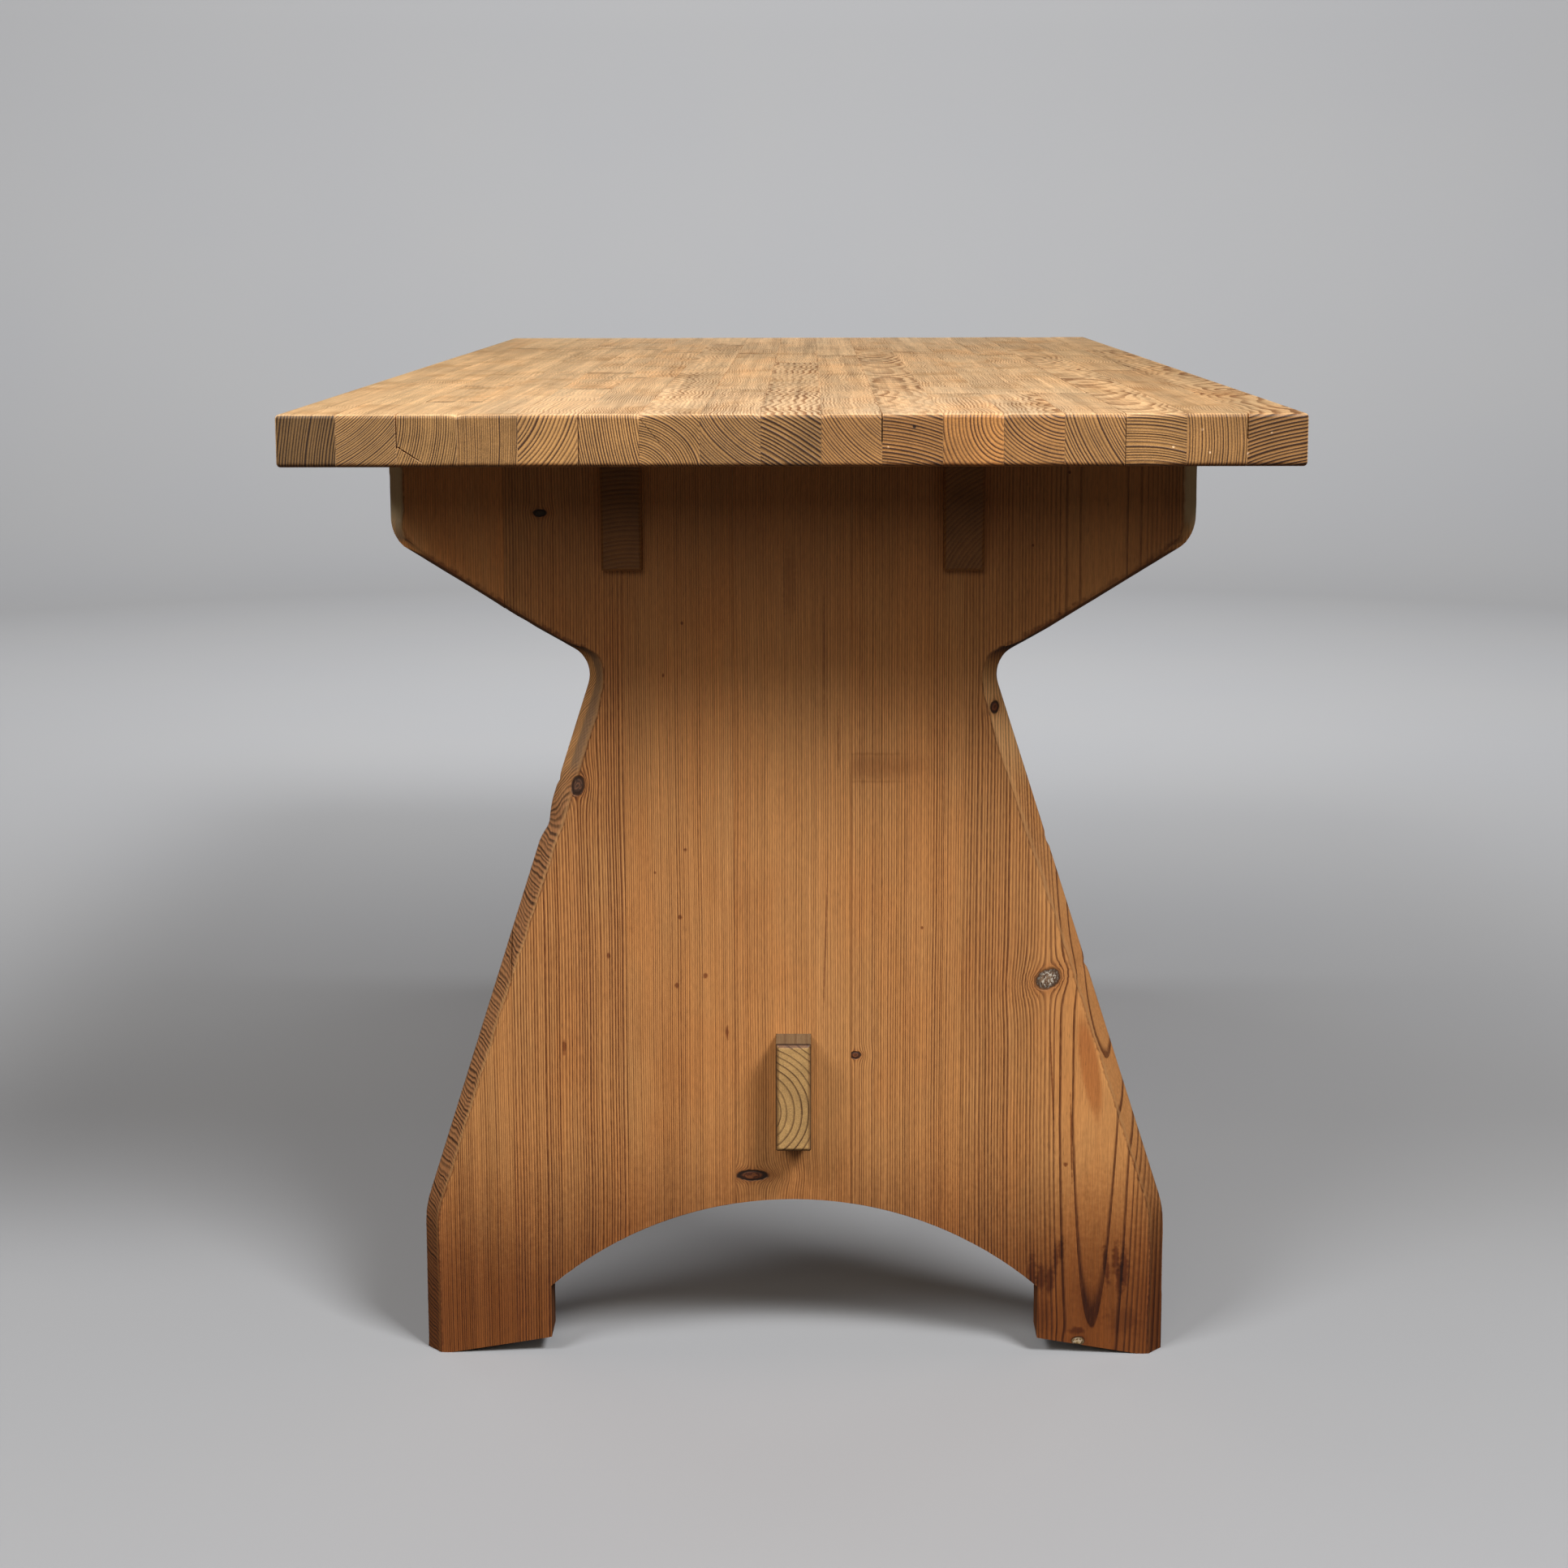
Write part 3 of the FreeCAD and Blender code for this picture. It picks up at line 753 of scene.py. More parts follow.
class Figure(typing.NamedTuple):
    """How a block of pine was sawn: where its pith lies, how its rings run and how it looks."""

    pith: tuple
    pitch: float
    wave: float
    tone: float
    contrast: float
    redness: float
    end_tone: float
    lean: tuple = (0.0, 0.0)
    heart: float = 0.0
    sink: float = 0.0

    def layers(self, along, start, draws, middle=(0.0, 0.0), inward=1):
        """The attributes that carry this figure about a middle, for grain along an axis from a start."""
        across = [axis for axis in range(3) if axis != along]
        piths = (middle[0] + self.pith[0], middle[1] + inward * self.pith[1])
        offset = Vector([draws.uniform(0, NOISE_RANGE) for axis in range(3)])

        def grain_at(place):
            run = place[along] - start
            axes = zip(across, piths, self.lean)
            parts = [place[axis] - pith - lean * run for axis, pith, lean in axes]
            parts[1] -= inward * self.sink * max(0.0, SINK_TOP - place[along])
            return parts + [run]

        def noise_at(place):
            return [place[axis] + offset[axis] for axis in across] + [place[along] + offset[along]]

        return {
            "grain_at": grain_at,
            "noise_at": noise_at,
            "figure": (self.pitch, self.wave, self.tone),
            "look": (self.contrast, self.redness, self.end_tone),
            "heart": (self.heart, 0.0, 0.0),
        }


def smooth_mesh(name, bm, material):
    """A mesh of a material, smooth between its sharp edges."""
    mesh = bpy.data.meshes.new(name)
    bm.to_mesh(mesh)
    bm.free()
    mesh.shade_smooth()
    mesh.set_sharp_from_angle(angle=SMOOTH_ANGLE)
    mesh.materials.append(material)
    return mesh


def add_object(name, data):
    """An object in the scene."""
    made = bpy.data.objects.new(name, data)
    bpy.context.scene.collection.objects.link(made)
    return made


def make_piece(name, meshes, layer_sets, material, nodes):
    """One piece from some closed meshes, each with its own grain, standing for CAD nodes."""
    whole = bmesh.new()
    counts = []
    for bm in meshes:
        part = bpy.data.meshes.new("part")
        bm.to_mesh(part)
        bm.free()
        whole.from_mesh(part)
        counts.append(len(part.vertices))
        bpy.data.meshes.remove(part)
    mesh = smooth_mesh(name, whole, material)
    first = 0
    for count, layers in zip(counts, layer_sets):
        write_grain(mesh, first, first + count, layers)
        first += count
    piece = add_object(name, mesh)
    normals = piece.modifiers.new("even_normals", "WEIGHTED_NORMAL")
    normals.keep_sharp = True
    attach(piece, "root")
    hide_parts(*nodes)


# Front blocks of the top's staves from the left: pith to the right of and above the middle of the end,
# ring pitch, wave, tone of the top, contrast, redness, tone of the end grain and the lean of the pith.
FRONT_FIGURES = (
    Figure((0.3, -0.02), 0.002, 0.003, 1.03, 1.1, 0.2, 0.41),
    Figure((-0.08, 0.095), 0.00145, 0.003, 1.06, 1.0, 0.2, 0.95),
    Figure((-0.11, 0.02), 0.0017, 0.003, 1.05, 1.0, 0.2, 0.98),
    Figure((-0.3, 0.01), 0.0014, 0.003, 1.05, 0.8, 0.3, 0.92),
    Figure((-0.07, 0.045), 0.0027, 0.003, 1.05, 0.9, 0.3, 1.08),
    Figure((0.12, 0.025), 0.0018, 0.003, 1.03, 1.05, 0.3, 1.15),
    Figure((-0.025, -0.03), 0.0018, 0.005, 1.03, 1.0, 0.3, 1.08),
    Figure((0.055, 0.05), 0.0018, 0.005, 1.0, 0.95, 0.3, 0.9),
    Figure((-0.125, -0.205), 0.0026, 0.01, 0.97, 1.2, 0.3, 0.78),
    Figure((0.07, 0.075), 0.0019, 0.002, 0.99, 0.8, 0.5, 1.0),
    Figure((-0.04, -0.13), 0.0024, 0.006, 0.99, 1.0, 0.7, 0.86),
    Figure((0.0235, 0.012), 0.0026, 0.005, 0.98, 0.8, 0.8, 1.16),
    Figure((0.02, 0.035), 0.0025, 0.005, 0.97, 0.9, 0.6, 1.0),
    Figure((0.09, 0.04), 0.002, 0.005, 0.95, 0.9, 0.4, 1.06),
    Figure((-0.012, -0.095), 0.002, 0.014, 1.02, 0.95, 0.3, 1.02, (0.0, 0.02)),
    Figure((-0.15, 0.005), 0.0019, 0.006, 0.9, 0.85, 0.4, 0.98),
    Figure((0.04, -0.15), 0.0023, 0.01, 0.88, 1.2, 0.5, 0.7),
)
# A later block whose grain stands out: stave and block, with the same values.
BOLD_FIGURES = {
    (11, 1): Figure((-0.004, -0.052), 0.0034, 0.011, 0.93, 1.25, 0.5, 0.9, (0.0, 0.036)),
}


def any_figure(draws):
    """A block of pine like those in a shop's stack."""
    return Figure(
        (draws.choice((-1, 1)) * draws.uniform(0.03, 0.16), draws.uniform(-0.09, 0.09)),
        draws.uniform(0.0018, 0.0027), draws.uniform(0.003, 0.009), draws.uniform(0.95, 1.05),
        draws.uniform(0.6, 0.85), draws.uniform(0.2, 0.6), draws.uniform(0.8, 1.05),
    )


def stave_blocks(node):
    """The blocks of a stave as separate closed meshes, near one first, with their ends."""
    faces = list(node_faces(node))
    cross_area = 1e-4
    ends = [middle.y for middle, normal, area, _ in faces if abs(normal.y) > 0.9999 and area > cross_area]
    stops = sorted({round(end, 5) for end in ends})
    blocks = []
    for near, far in zip(stops, stops[1:]):
        own = []
        for middle, normal, _, corners in faces:
            behind = middle - 2 * TOUCH * normal
            if near < behind.y < far:
                own.append(corners)
        blocks.append((welded(own), near, far))
    return blocks


def ends_at(near, far, joint):
    """The way to both ends of a block, far off at the table's own ends, and how dirty its joints are."""
    clear = 1.0
    slack = 1e-4
    near_gap = clear if near < cad_box[0].y + slack else 0.0
    far_gap = clear if far > cad_box[1].y - slack else 0.0
    return lambda place: (place.y - near + near_gap, far - place.y + far_gap, joint)


def open_joint(bm, side, inward, end, gap, floor):
    """Draws the side of a stave back from its neighbour near the table's end, above a height."""
    reach = 0.09
    room = 0.0008
    for vert in bm.verts:
        along = abs(vert.co.y - end)
        if abs(vert.co.x - side) < room and along < reach and vert.co.z > floor:
            vert.co.x += inward * gap * (1 - along / reach)


def break_corner(bm, corner, size, depth):
    """Breaks a small nick out of a stave's upper corner."""
    for vert in bm.verts:
        gap = (vert.co - corner).length
        if gap < size:
            vert.co.z -= depth * (1 - gap / size)


def open_crack(bm, end, start, stop, width, depth):
    """Opens a check in the near end of a block between two points, given across and up."""
    run = (stop - start).length
    ahead = (stop - start) / run
    aside = Vector((-ahead.y, ahead.x))
    for offset in (-width / 2, 0.0, width / 2):
        faces = [face for face in bm.faces if face.normal.y < -0.99]
        faces = [face for face in faces if abs(face.calc_center_median().y - end) < TOUCH]
        edges = {edge for face in faces for edge in face.edges}
        verts = {vert for face in faces for vert in face.verts}
        point = start + aside * offset
        bmesh.ops.bisect_plane(
            bm, geom=[*faces, *edges, *verts], dist=WELD, plane_co=(point.x, end, point.y),
            plane_no=(aside.x, 0.0, aside.y),
        )
    for vert in bm.verts:
        flat = Vector((vert.co.x, vert.co.z)) - start
        place = flat.dot(ahead) / run
        if abs(vert.co.y - end) < TOUCH and abs(flat.dot(aside)) < 2 * WELD and -0.001 < place < 1:
            vert.co.y += depth * min(1.0, 4 * (1 - place))


# Joints of the top that stand open at the near end: the stave on their left, how wide, above what height.
FRONT_GAPS = {
    2: (0.0009, 0.727), 5: (0.0007, 0.0), 10: (0.0009, 0.728), 14: (0.0006, 0.0), 16: (0.001, 0.733),
}
CLOSED_GAP = (0.00012, 0.0)
# Checks in the near end: the stave, both ends across and up, the width and the depth.
FRONT_CRACKS = {
    3: (Vector((-0.2674, 0.7284)), Vector((-0.2512, 0.7177)), 0.0011, 0.007),
    7: (Vector((-0.1042, 0.7492)), Vector((-0.0803, 0.72)), 0.0005, 0.004),
}
NICKED_JOINTS = (3, 6, 8, 9, 12, 14)
NICK_SIZE = 0.0048
NICK_DEPTH = 0.0016
# Extra cuts at the near end, as ways behind it and as heights, that give the wear its vertices.
FRONT_ROWS = (0.005, 0.009, 0.016, 0.03, 0.055, 0.095)
FRONT_LEVELS = (0.7265, 0.7275, 0.7325, 0.7335, 0.7405)


def wear_front(bm, number, low, high):
    """Open joints, nicks and checks at the near end of a stave."""
    cut_rows(bm, 1, [low.y + row for row in FRONT_ROWS])
    cut_rows(bm, 2, FRONT_LEVELS)
    for joint, side, inward in ((number - 1, low.x, 1), (number, high.x, -1)):
        gap, floor = FRONT_GAPS.get(joint, CLOSED_GAP)
        open_joint(bm, side, inward, low.y, gap / 2, floor)
        if joint in NICKED_JOINTS:
            break_corner(bm, Vector((side, low.y, high.z)), NICK_SIZE, NICK_DEPTH)
    if number in FRONT_CRACKS:
        open_crack(bm, low.y, *FRONT_CRACKS[number])


STAVE_EASE = 0.0003
STAVE_ROW = 0.0032
DEEPEST_STEP = 0.0004
STEP_ROOM = 0.0045
JOINT_DIRTS = (0.1, 0.5, 0.9, 1.0)


def make_top():
    """The staves of the top, each of blocks butted end to end."""
    material = make_top_pine()
    draws = random.Random(5)
    for number, front in enumerate(FRONT_FIGURES, start=1):
        node = "top_stave_%02d" % number
        low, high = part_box(node)
        middle = (low + high) / 2
        meshes = []
        layer_sets = []
        for index, (bm, near, far) in enumerate(stave_blocks(node)):
            figure = front if index == 0 else any_figure(draws)
            figure = BOLD_FIGURES.get((number, index), figure)
            ease_arrises(bm, STAVE_EASE)
            cut_rows(bm, 0, spread(low.x, high.x, STAVE_ROW))
            if index == 0:
                wear_front(bm, number, low, high)
            else:
                step = draws.uniform(0.0, DEEPEST_STEP)
                for vert in bm.verts:
                    if vert.co.z > high.z - STEP_ROOM:
                        vert.co.z -= step
            meshes.append(bm)
            layers = figure.layers(1, near, draws, (middle.x, middle.z))
            layers["ends_at"] = ends_at(near, far, draws.choice(JOINT_DIRTS))
            layer_sets.append(layers)
        make_piece("stave_%02d" % number, meshes, layer_sets, material, [node])


# Boards of an end: pith across and behind the near face, in metres from the frame's middle and that face.
BOARD_FIGURES = {
    "end_left_wing": Figure((0.1, 0.09), 0.0018, 0.004, 1.13, 0.55, 0.75, 0.8),
    "end_left_foot": Figure((0.05, 0.06), 0.00165, 0.004, 0.97, 0.9, 0.4, 0.8),
    "end_board_2": Figure((0.12, 0.05), 0.0021, 0.005, 1.0, 1.12, 0.4, 0.8),
    "end_board_3": Figure((0.2, 0.06), 0.0016, 0.003, 1.0, 0.85, 0.4, 0.8),
    "end_board_4": Figure((-0.2, 0.05), 0.0018, 0.004, 0.99, 0.75, 0.4, 0.8),
    "end_board_5": Figure((0.32, 0.04), 0.00185, 0.003, 1.0, 0.98, 0.4, 0.8),
    "end_board_6": Figure((0.2335, 0.014), 0.0024, 0.003, 0.93, 1.06, 0.4, 0.8, heart=0.036, sink=0.057),
}
# Knots and marks on the near end, as the way across and up from the frame's origin.
SILVER_KNOT = {"dark": rgb(0.11, 0.06, 0.034), "light": rgb(0.24, 0.155, 0.095), "silver": 0.85}
BARE_CHIP = {"dark": rgb(0.16, 0.1, 0.05), "light": rgb(0.5, 0.42, 0.24), "silver": 1.0}
BOARD_KNOTS = {
    "end_board_2": (
        Knot(-0.1897, 0.6643, 0.0046, 0.0026, 0.0, 0.7, 1.0, rgb(0.02, 0.014, 0.008), rgb(0.05, 0.03, 0.016)),
        Knot(-0.164, 0.4555, 0.0046, 0.007, 0.12, 1.5, 0.9, rgb(0.07, 0.036, 0.024), rgb(0.21, 0.095, 0.05)),
    ),
    "end_board_4": (Knot(-0.0323, 0.1459, 0.011, 0.004, rim=1.0),),
    "end_board_5": (Knot(0.0478, 0.2429, 0.004, 0.0028),),
    "end_board_6": (
        Knot(0.153, 0.5156, 0.0032, 0.0044),
        Knot(0.1956, 0.3038, 0.0086, 0.008, 0.25, 1.3, 0.7, **SILVER_KNOT),
        Knot(0.2227, 0.0105, 0.0052, 0.0034, 0.0, 1.6, 0.6, **BARE_CHIP),
    ),
}
BOARD_MARKS = {
    "end_board_2": marks(((-0.1421, 0.3223, 0.002, 0.0028), (-0.1775, 0.2492, 0.002, 0.0085))),
    "end_board_3": marks((
        (-0.0827, 0.4055, 0.002, 0.002), (-0.1059, 0.3876, 0.0014, 0.0016), (-0.0869, 0.3525, 0.002, 0.0026),
        (-0.0679, 0.3063, 0.0024, 0.003), (-0.0898, 0.2985, 0.0022, 0.0034),
        (-0.0838, 0.5805, 0.0014, 0.0018), (-0.0983, 0.5407, 0.0012, 0.0018),
        (-0.0512, 0.261, 0.0016, 0.0075),
    )),
    "end_board_4": (
        Mark(0.0234, 0.55, 0.0009, 0.075, strength=0.6),
        Mark(0.0246, 0.333, 0.0009, 0.08, strength=0.7, tilt=0.03),
        Mark(0.0344, 0.489, 0.0008, 0.032, strength=0.7),
        Mark(-0.0025, 0.61, 0.007, 0.038, OLD_STAIN, 0.5),
    ),
    "end_board_5": (
        Mark(0.062, 0.47, 0.056, 0.015, CROSS_STAIN, 0.5, 0.15, rough=0.5),
        *marks(((0.06, 0.48, 0.042, 0.0017), (0.062, 0.4585, 0.04, 0.0015)), CROSS_STAIN, 0.4, 0.0),
        Mark(0.0987, 0.3442, 0.0014, 0.0016),
    ),
    "end_board_6": (
        *marks((
            (0.2113, 0.1548, 0.0024, 0.0024), (0.2071, 0.6943, 0.0014, 0.0016),
            (0.1804, 0.6394, 0.0012, 0.0014),
        )),
        Mark(0.229, 0.2327, 0.009, 0.05, RED_STAIN, 0.9, 0.55, -0.165, 0.2),
        Mark(0.24, 0.229, 0.0024, 0.042, PALE_STREAK, 0.6, 0.1, -0.31, 0.2),
        # Painted shade: darkens the right foot.
        Mark(0.24, 0.04, 0.1, 0.125, FOOT_SHADE, 0.9, 0.3, rough=0.2),
        Mark(0.2, 0.22, 0.0009, 0.065, tilt=-0.05),
        Mark(0.2154, 0.176, 0.001, 0.052, tilt=-0.03),
        *marks((
            (0.186, 0.067, 0.0046, 0.02), (0.193, 0.062, 0.005, 0.016), (0.2, 0.061, 0.0044, 0.018),
            (0.2045, 0.078, 0.0026, 0.018), (0.2085, 0.085, 0.003, 0.013), (0.2515, 0.078, 0.004, 0.019),
            (0.258, 0.07, 0.0046, 0.024), (0.2545, 0.062, 0.0042, 0.02), (0.2215, 0.019, 0.0085, 0.0042),
        ), FOOT_STAIN),
        Mark(0.244, 0.072, 0.0032, 0.024, FOOT_STAIN, tilt=-0.1),
        Mark(0.2575, 0.028, 0.018, 0.016, GREY_DIRT, 0.7),
        Mark(0.195, 0.03, 0.015, 0.022, GREY_DIRT, 0.6, 0.1),
        Mark(0.23, 0.042, 0.018, 0.034, GREY_DIRT, 0.5, 0.1),
        Mark(0.205, 0.045, 0.0038, 0.031, PALE_STREAK, 0.7),
    ),
}
# Places where the outer edges of the near end are broken.
EDGE_CHIPS = (
    Chip(-1, 0.4115, 0.4235, 0.444, 0.0034),
    Chip(-1, 0.454, 0.457, 0.464, 0.0012),
    Chip(1, 0.406, 0.411, 0.418, 0.0016),
    Chip(1, 0.308, 0.313, 0.32, 0.0018),
)
# Knots and marks on the far end.
BACK_KNOTS = {
    "end_left_foot": (Knot(-0.248, 0.185, 0.005, 0.0062),),
    "end_board_2": (Knot(-0.172, 0.332, 0.0075, 0.0085, 0.1, 1.3),),
    "end_board_4": (Knot(0.018, 0.565, 0.0046, 0.0038, rim=1.0),),
    "end_board_5": (Knot(0.092, 0.396, 0.0068, 0.0074, -0.15, 1.3),),
    "end_board_6": (Knot(0.205, 0.21, 0.004, 0.005), Knot(0.162, 0.63, 0.0062, 0.004, rim=1.0)),
}
BACK_MARKS = {
    "end_board_2": marks(((-0.151, 0.511, 0.0016, 0.0024), (-0.144, 0.202, 0.0018, 0.008))),
    "end_board_3": marks((
        (-0.094, 0.442, 0.0018, 0.002), (-0.07, 0.26, 0.002, 0.003),
        (-0.113, 0.335, 0.0012, 0.007), (-0.061, 0.6, 0.0014, 0.0018),
    )),
    "end_board_4": marks(((-0.019, 0.44, 0.0011, 0.06), (0.008, 0.31, 0.0016, 0.002))),
    "end_board_6": marks(((0.157, 0.295, 0.0018, 0.0022), (0.176, 0.433, 0.0014, 0.008))),
}
BOARD_ROW = 0.004
BOARD_EASE = 0.0002
BEVEL_EASE = 0.0005
FACE_WEAR = 0.0016
SIDE_WEAR = 0.0006


def wear_board(bm, low, high, face, inward, chips):
    """Works and wears the bevels of a board, and gives points along their inner line."""
    support_arrises(bm, on_face_arris, FACE_ROOM)
    support_arrises(bm, on_side_arris, SIDE_ROOM)
    cut_rows(bm, 2, spread(low.z, high.z, BOARD_ROW))
    narrow_bevels(bm, (low.y, high.y))
    points = wear_face_arrises(bm, FACE_WEAR)
    wear_side_arrises(bm, SIDE_WEAR)
    break_edges(bm, face, inward, high.y - low.y, chips)
    ease_arrises(bm, BEVEL_EASE, lambda edge: on_face_arris(edge) or on_side_arris(edge), 2)
    return points


def seams_of(board, low, high):
    """Where a board is glued to its neighbours, across the table."""
    left = () if board in LEFT_BLOCKS else (low.x,)
    right = () if board == END_BOARDS[-1] else (high.x,)
    return left + right


def make_end(side, draws):
    """One shaped end, of boards glued edge to edge."""
    near = side == "front"
    inward = 1 if near else -1
    all_knots = BOARD_KNOTS if near else BACK_KNOTS
    all_marks = BOARD_MARKS if near else BACK_MARKS
    chips = EDGE_CHIPS if near else ()
    for board in END_BOARDS:
        node = "%s_%s" % (side, board)
        low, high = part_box(node)
        face = low.y if near else high.y
        bm = welded([corners for _, _, _, corners in node_faces(node)])
        points = []
        if any(on_face_arris(edge) for edge in bm.edges):
            points = wear_board(bm, low, high, face, inward, chips)
        else:
            cut_rows(bm, 2, spread(low.z, high.z, BOARD_ROW))
        ease_arrises(bm, BOARD_EASE, angle=SEAM_ANGLE)
        material = make_end_pine(
            "%s_pine" % node, all_knots.get(board, ()), all_marks.get(board, ()),
            seams_of(board, low, high), face, inward, board in END_BOARDS[:3],
        )
        layers = BOARD_FIGURES[board].layers(2, low.z, draws, (0.0, face), inward)
        layers["arris_at"] = arris_gap(points) if points else (ARRIS_REACH, 0.0, 0.0)
        make_piece("%s_wood" % node, [bm], [layers], material, [node])


# Rails and stretcher: pith across and up in metres, then as for the staves.
BAR_FIGURES = {
    "left_rail": Figure((-0.12, 0.56), 0.0034, 0.004, 0.9, 0.5, 1.0, 0.58),
    "right_rail": Figure((0.19, 0.59), 0.003, 0.004, 0.9, 0.45, 1.0, 0.62),
    "stretcher": Figure((-0.03, 0.206), 0.005, 0.01, 1.0, 0.8, 0.05, 1.0),
}


def make_bars():
    """The rails under the top and the stretcher between the ends."""
    draws = random.Random(9)
    rail_pine = make_rail_pine()
    bars = (
        ("left_rail", rail_pine, 0.0006), ("right_rail", rail_pine, 0.0006),
        ("stretcher", make_stretcher_pine(), 0.0011),
    )
    for node, material, ease in bars:
        low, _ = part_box(node)
        bm = welded([corners for _, _, _, corners in node_faces(node)])
        ease_arrises(bm, ease, segments=2)
        layers = BAR_FIGURES[node].layers(1, low.y, draws)
        make_piece(node + "_wood", [bm], [layers], material, [node])


# Screws that hold the top: heads down in the rails, tips in the top.
SCREW_ACROSS = (-0.128, 0.128)
SCREW_ALONG = (-0.37544, -0.11856, 0.11856, 0.37544)
SCREW_SEAT = 0.672
SCREW_SIDES = 24
HEAD_HEIGHT = 0.003
RECESS_REACH = 0.0026
RECESS_DEPTH = 0.0016
ARM_HALF_WIDTH = 0.0005
THREAD_START = 0.030
THREAD_PITCH = 0.0025
THREAD_ROW = 0.0008
TIP_START = 0.059
SCREW_LENGTH = 0.065
CORE_RADIUS = 0.0017
SHANK_RADIUS = 0.00248
RECESS_RINGS = (0.0008, 0.0014, 0.002, 0.0025, 0.0031)
HEAD_RINGS = ((0.0042, -0.0027), (0.0049, -0.0018), (0.005, -0.0007), (0.005, 0.0), (SHANK_RADIUS, 0.0))


def join_rings(bm, rings):
    """Closes the bands between rings of vertices."""
    for lower, upper in zip(rings, rings[1:]):
        for side in range(len(lower)):
            after = (side + 1) % len(lower)
            bm.faces.new((lower[side], lower[after], upper[after], upper[side]))


def recessed(radius):
    """A ring of a head's lower face, sunk where the cross of the recess passes."""
    def shape(angle):
        aside = radius * min(abs(math.sin(angle)), abs(math.cos(angle)))
        sunk = RECESS_DEPTH if aside < ARM_HALF_WIDTH and radius < RECESS_REACH else 0.0
        return radius, sunk - HEAD_HEIGHT

    return shape


def plain_ring(radius, height):
    """A round ring about a screw's axis."""
    return lambda angle: (radius, height)


def threaded(height):
    """A ring of the thread, which narrows to a point at the tip."""
    taper = min(1.0, (SCREW_LENGTH - height) / (SCREW_LENGTH - TIP_START))

    def shape(angle):
        phase = (height / THREAD_PITCH - angle / (2 * math.pi)) % 1.0
        crest = max(0.0, 1.0 - abs(phase - 0.5) / 0.3)
        return taper * (CORE_RADIUS + (SHANK_RADIUS - CORE_RADIUS) * crest), height

    return shape


def add_screw(bm, place, turn):
    """One pan-head wood screw, closed from its recess to its tip."""
    shapes = [recessed(radius) for radius in RECESS_RINGS]
    shapes += [plain_ring(radius, height) for radius, height in HEAD_RINGS]
    shapes.append(plain_ring(SHANK_RADIUS, THREAD_START - THREAD_ROW))
    rows = round((SCREW_LENGTH - THREAD_START) / THREAD_ROW)
    shapes += [threaded(THREAD_START + THREAD_ROW * row) for row in range(rows)]
    rings = []
    angles = [2 * math.pi * side / SCREW_SIDES for side in range(SCREW_SIDES)]
    for shape in shapes:
        ring = []
        for angle in angles:
            radius, height = shape(angle)
            out = Vector((math.cos(angle + turn), math.sin(angle + turn), 0.0)) * radius
            ring.append(bm.verts.new(place + out + Vector((0.0, 0.0, height))))
        rings.append(ring)
    bottom = bm.verts.new(place + Vector((0.0, 0.0, RECESS_DEPTH - HEAD_HEIGHT)))
    tip = bm.verts.new(place + Vector((0.0, 0.0, SCREW_LENGTH)))
    for side in range(SCREW_SIDES):
        after = (side + 1) % SCREW_SIDES
        bm.faces.new((bottom, rings[0][after], rings[0][side]))
        bm.faces.new((tip, rings[-1][side], rings[-1][after]))
    join_rings(bm, rings)


def make_screws():
    """The screws that hold the top, in dulled zinc."""
    draws = random.Random(3)
    bm = bmesh.new()
    for x in SCREW_ACROSS:
        for y in SCREW_ALONG:
            add_screw(bm, Vector((x, y, SCREW_SEAT)), draws.uniform(0.0, math.pi))
    screws = add_object("top_fixing_screws_steel", smooth_mesh("screws", bm, make_steel()))
    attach(screws, "root")
    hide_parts("top_fixing_screws")


def make_camera():
    """A camera where the photograph was taken from."""
    data = bpy.data.cameras.new("camera")
    data.lens = CAMERA_LENS
    data.shift_y = CAMERA_SHIFT
    camera = add_object("camera", data)
    aim = Matrix.Rotation(-CAMERA_YAW, 4, "Z") @ Matrix.Rotation(math.pi / 2 - CAMERA_PITCH, 4, "X")
    camera.matrix_world = Matrix.Translation(CAMERA_PLACE) @ aim @ Matrix.Rotation(CAMERA_ROLL, 4, "Z")
    bpy.context.scene.camera = camera


def make_light(name, place, target, size, power, colour=(1.0, 1.0, 1.0)):
    """A soft square light aimed at a point."""
    data = bpy.data.lights.new(name, "AREA")
    data.color = colour
    data.size = size
    data.energy = power
    light = add_object(name, data)
    light.location = place
    light.rotation_euler = (Vector(target) - Vector(place)).to_track_quat("-Z", "Y").to_euler()
    light.visible_camera = False


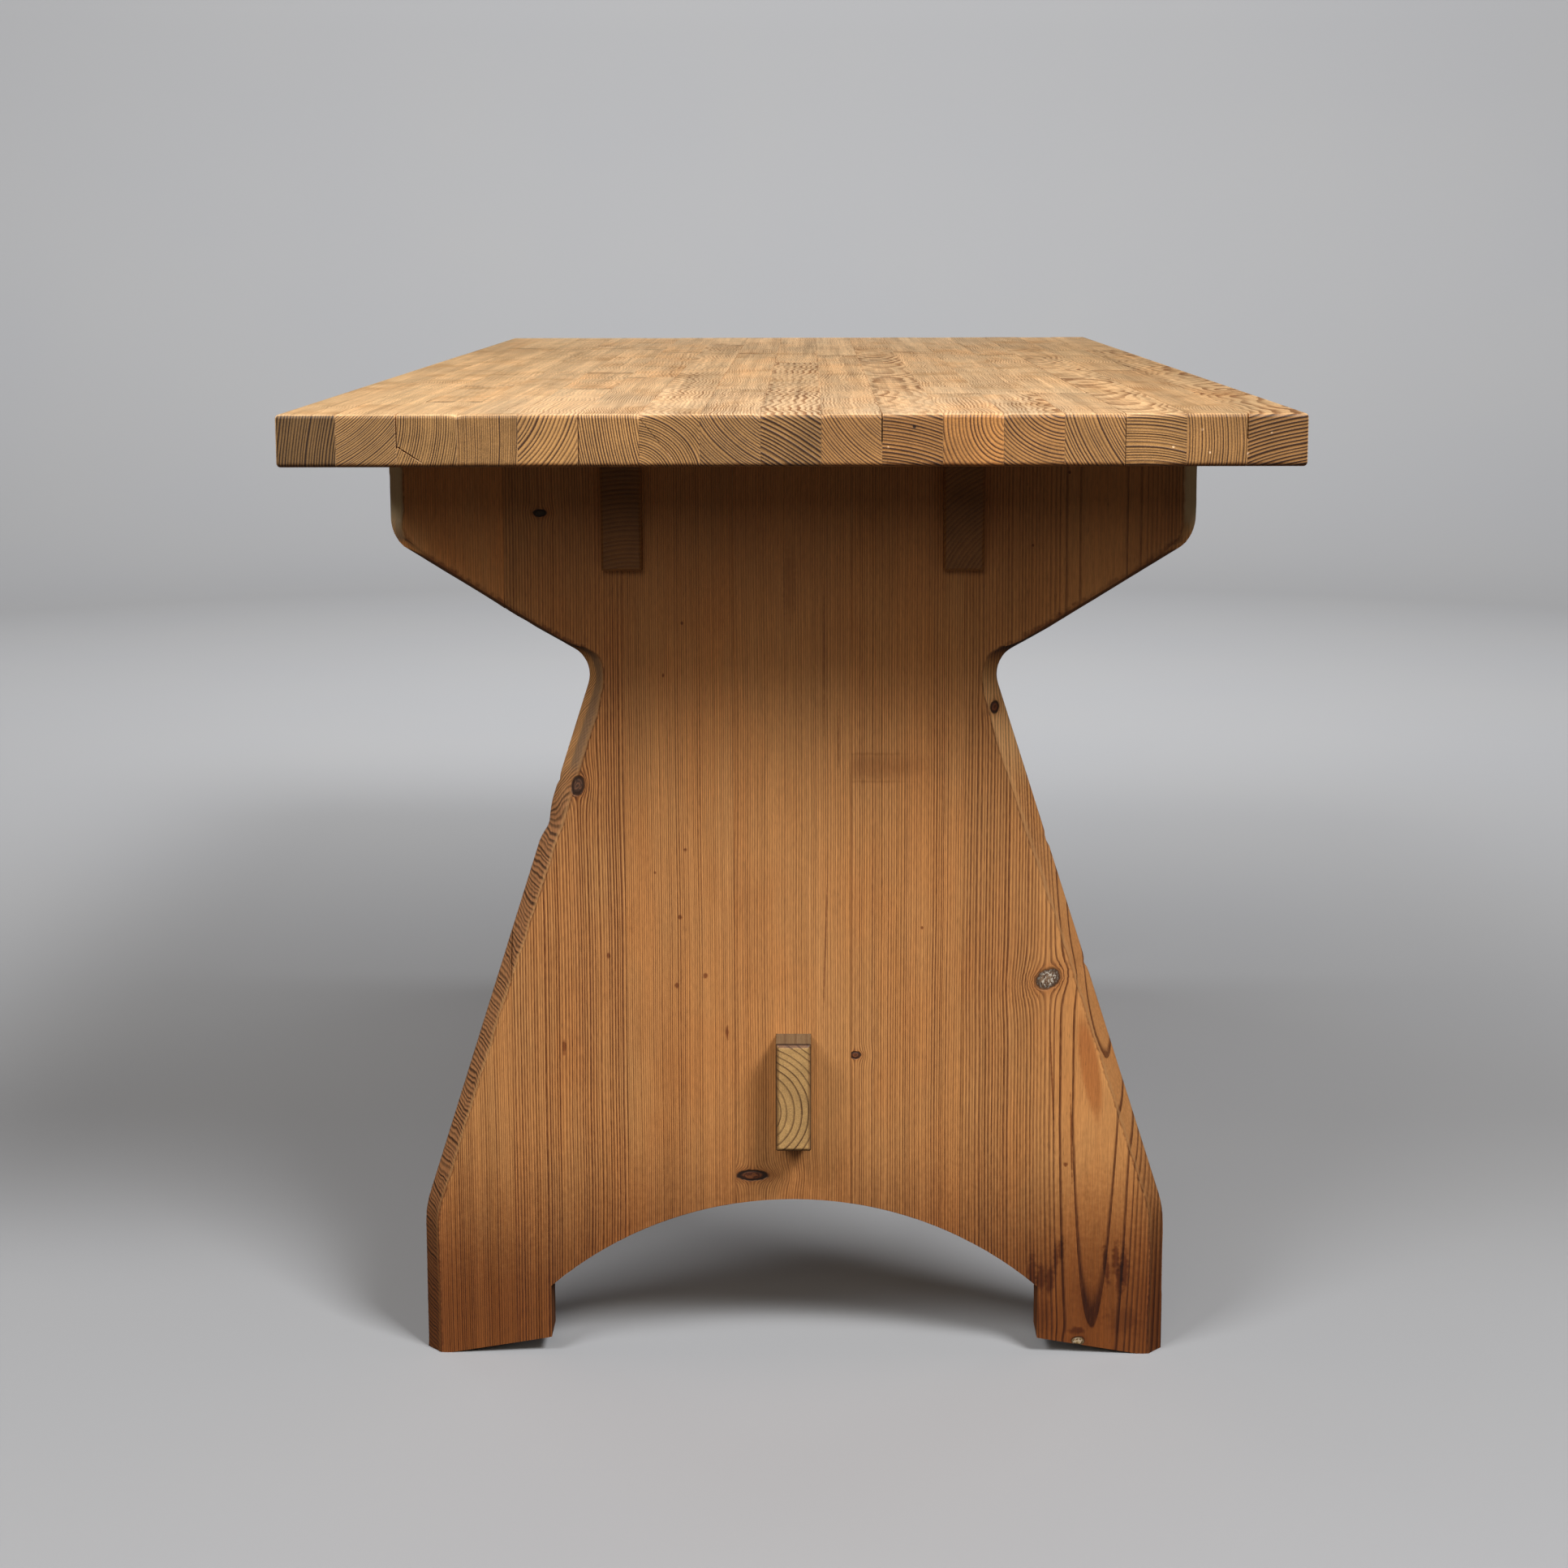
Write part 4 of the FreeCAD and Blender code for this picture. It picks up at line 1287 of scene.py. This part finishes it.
def make_floor_paint():
    """Pale paint that throws little light back onto the table."""
    n = Nodes("studio_floor")
    cloud = n.noise(n.add("TexCoord").outputs["Object"], 2.0, 2.0, 3.0)
    seen = n.scale(n.mix(cloud, rgb(0.93, 0.95, 1.0), rgb(0.97, 0.98, 1.0)), 0.4)
    colour = n.mix(n.add("LightPath").outputs["Is Camera Ray"], rgb(0.05, 0.037, 0.026), seen)
    return n.finish(colour, 0.8, cloud, 0.0002)


def make_stage():
    """A pale round studio floor whose rim curves up into a wall."""
    radius = 5.5
    cove = 1.5
    height = 4.0
    steps = 12
    sides = 96
    profile = [(1.5, 0.0), (3.0, 0.0)]
    for step in range(steps + 1):
        angle = math.pi / 2 * step / steps
        profile.append((radius - cove + cove * math.sin(angle), cove - cove * math.cos(angle)))
    profile.append((radius, height))
    bm = bmesh.new()
    turns = [2 * math.pi * side / sides for side in range(sides)]
    rings = []
    for out, up in profile:
        rings.append([bm.verts.new((out * math.cos(turn), out * math.sin(turn), up)) for turn in turns])
    bm.faces.new(rings[0])
    join_rings(bm, rings[::-1])
    floor = add_object("studio_floor", smooth_mesh("studio_floor", bm, make_floor_paint()))


def make_studio():
    """Soft lights before, above and behind the table and on the wall, and a weak even light."""
    make_light("key_light", (1.96, -2.72, 3.6), (0.0, -0.4, 0.45), 1.25, 190.0)
    make_light("fill_light", (-2.3, -2.7, 3.5), (0.0, -0.4, 0.45), 1.5, 104.0)
    make_light("front_light", (-0.5, -4.4, 2.6), (0.0, -0.5, 0.5), 2.0, 34.0, (1.0, 0.86, 0.7))
    make_light("top_light", (-0.9, -0.1, 2.6), (0.0, 0.1, 0.75), 1.4, 5.0)
    make_light("wall_light", (0.0, 1.6, 3.4), (0.0, 5.5, 1.6), 2.4, 190.0)
    for side in (-1, 1):
        make_light("side_light_%d" % side, (3.0 * side, 2.6, 1.3), (0.0, 0.4, 0.4), 1.2, 10.0)
    world = bpy.data.worlds.new("studio")
    world.use_nodes = True
    background = world.node_tree.nodes["Background"]
    background.inputs["Color"].default_value = rgb(1.0, 0.74, 0.5)
    background.inputs["Strength"].default_value = 0.03
    scene = bpy.context.scene
    scene.world = world
    scene.view_settings.view_transform = "Standard"


make_top()
make_end("front", random.Random(21))
make_end("back", random.Random(22))
make_bars()
make_screws()
make_stage()
make_studio()
make_camera()
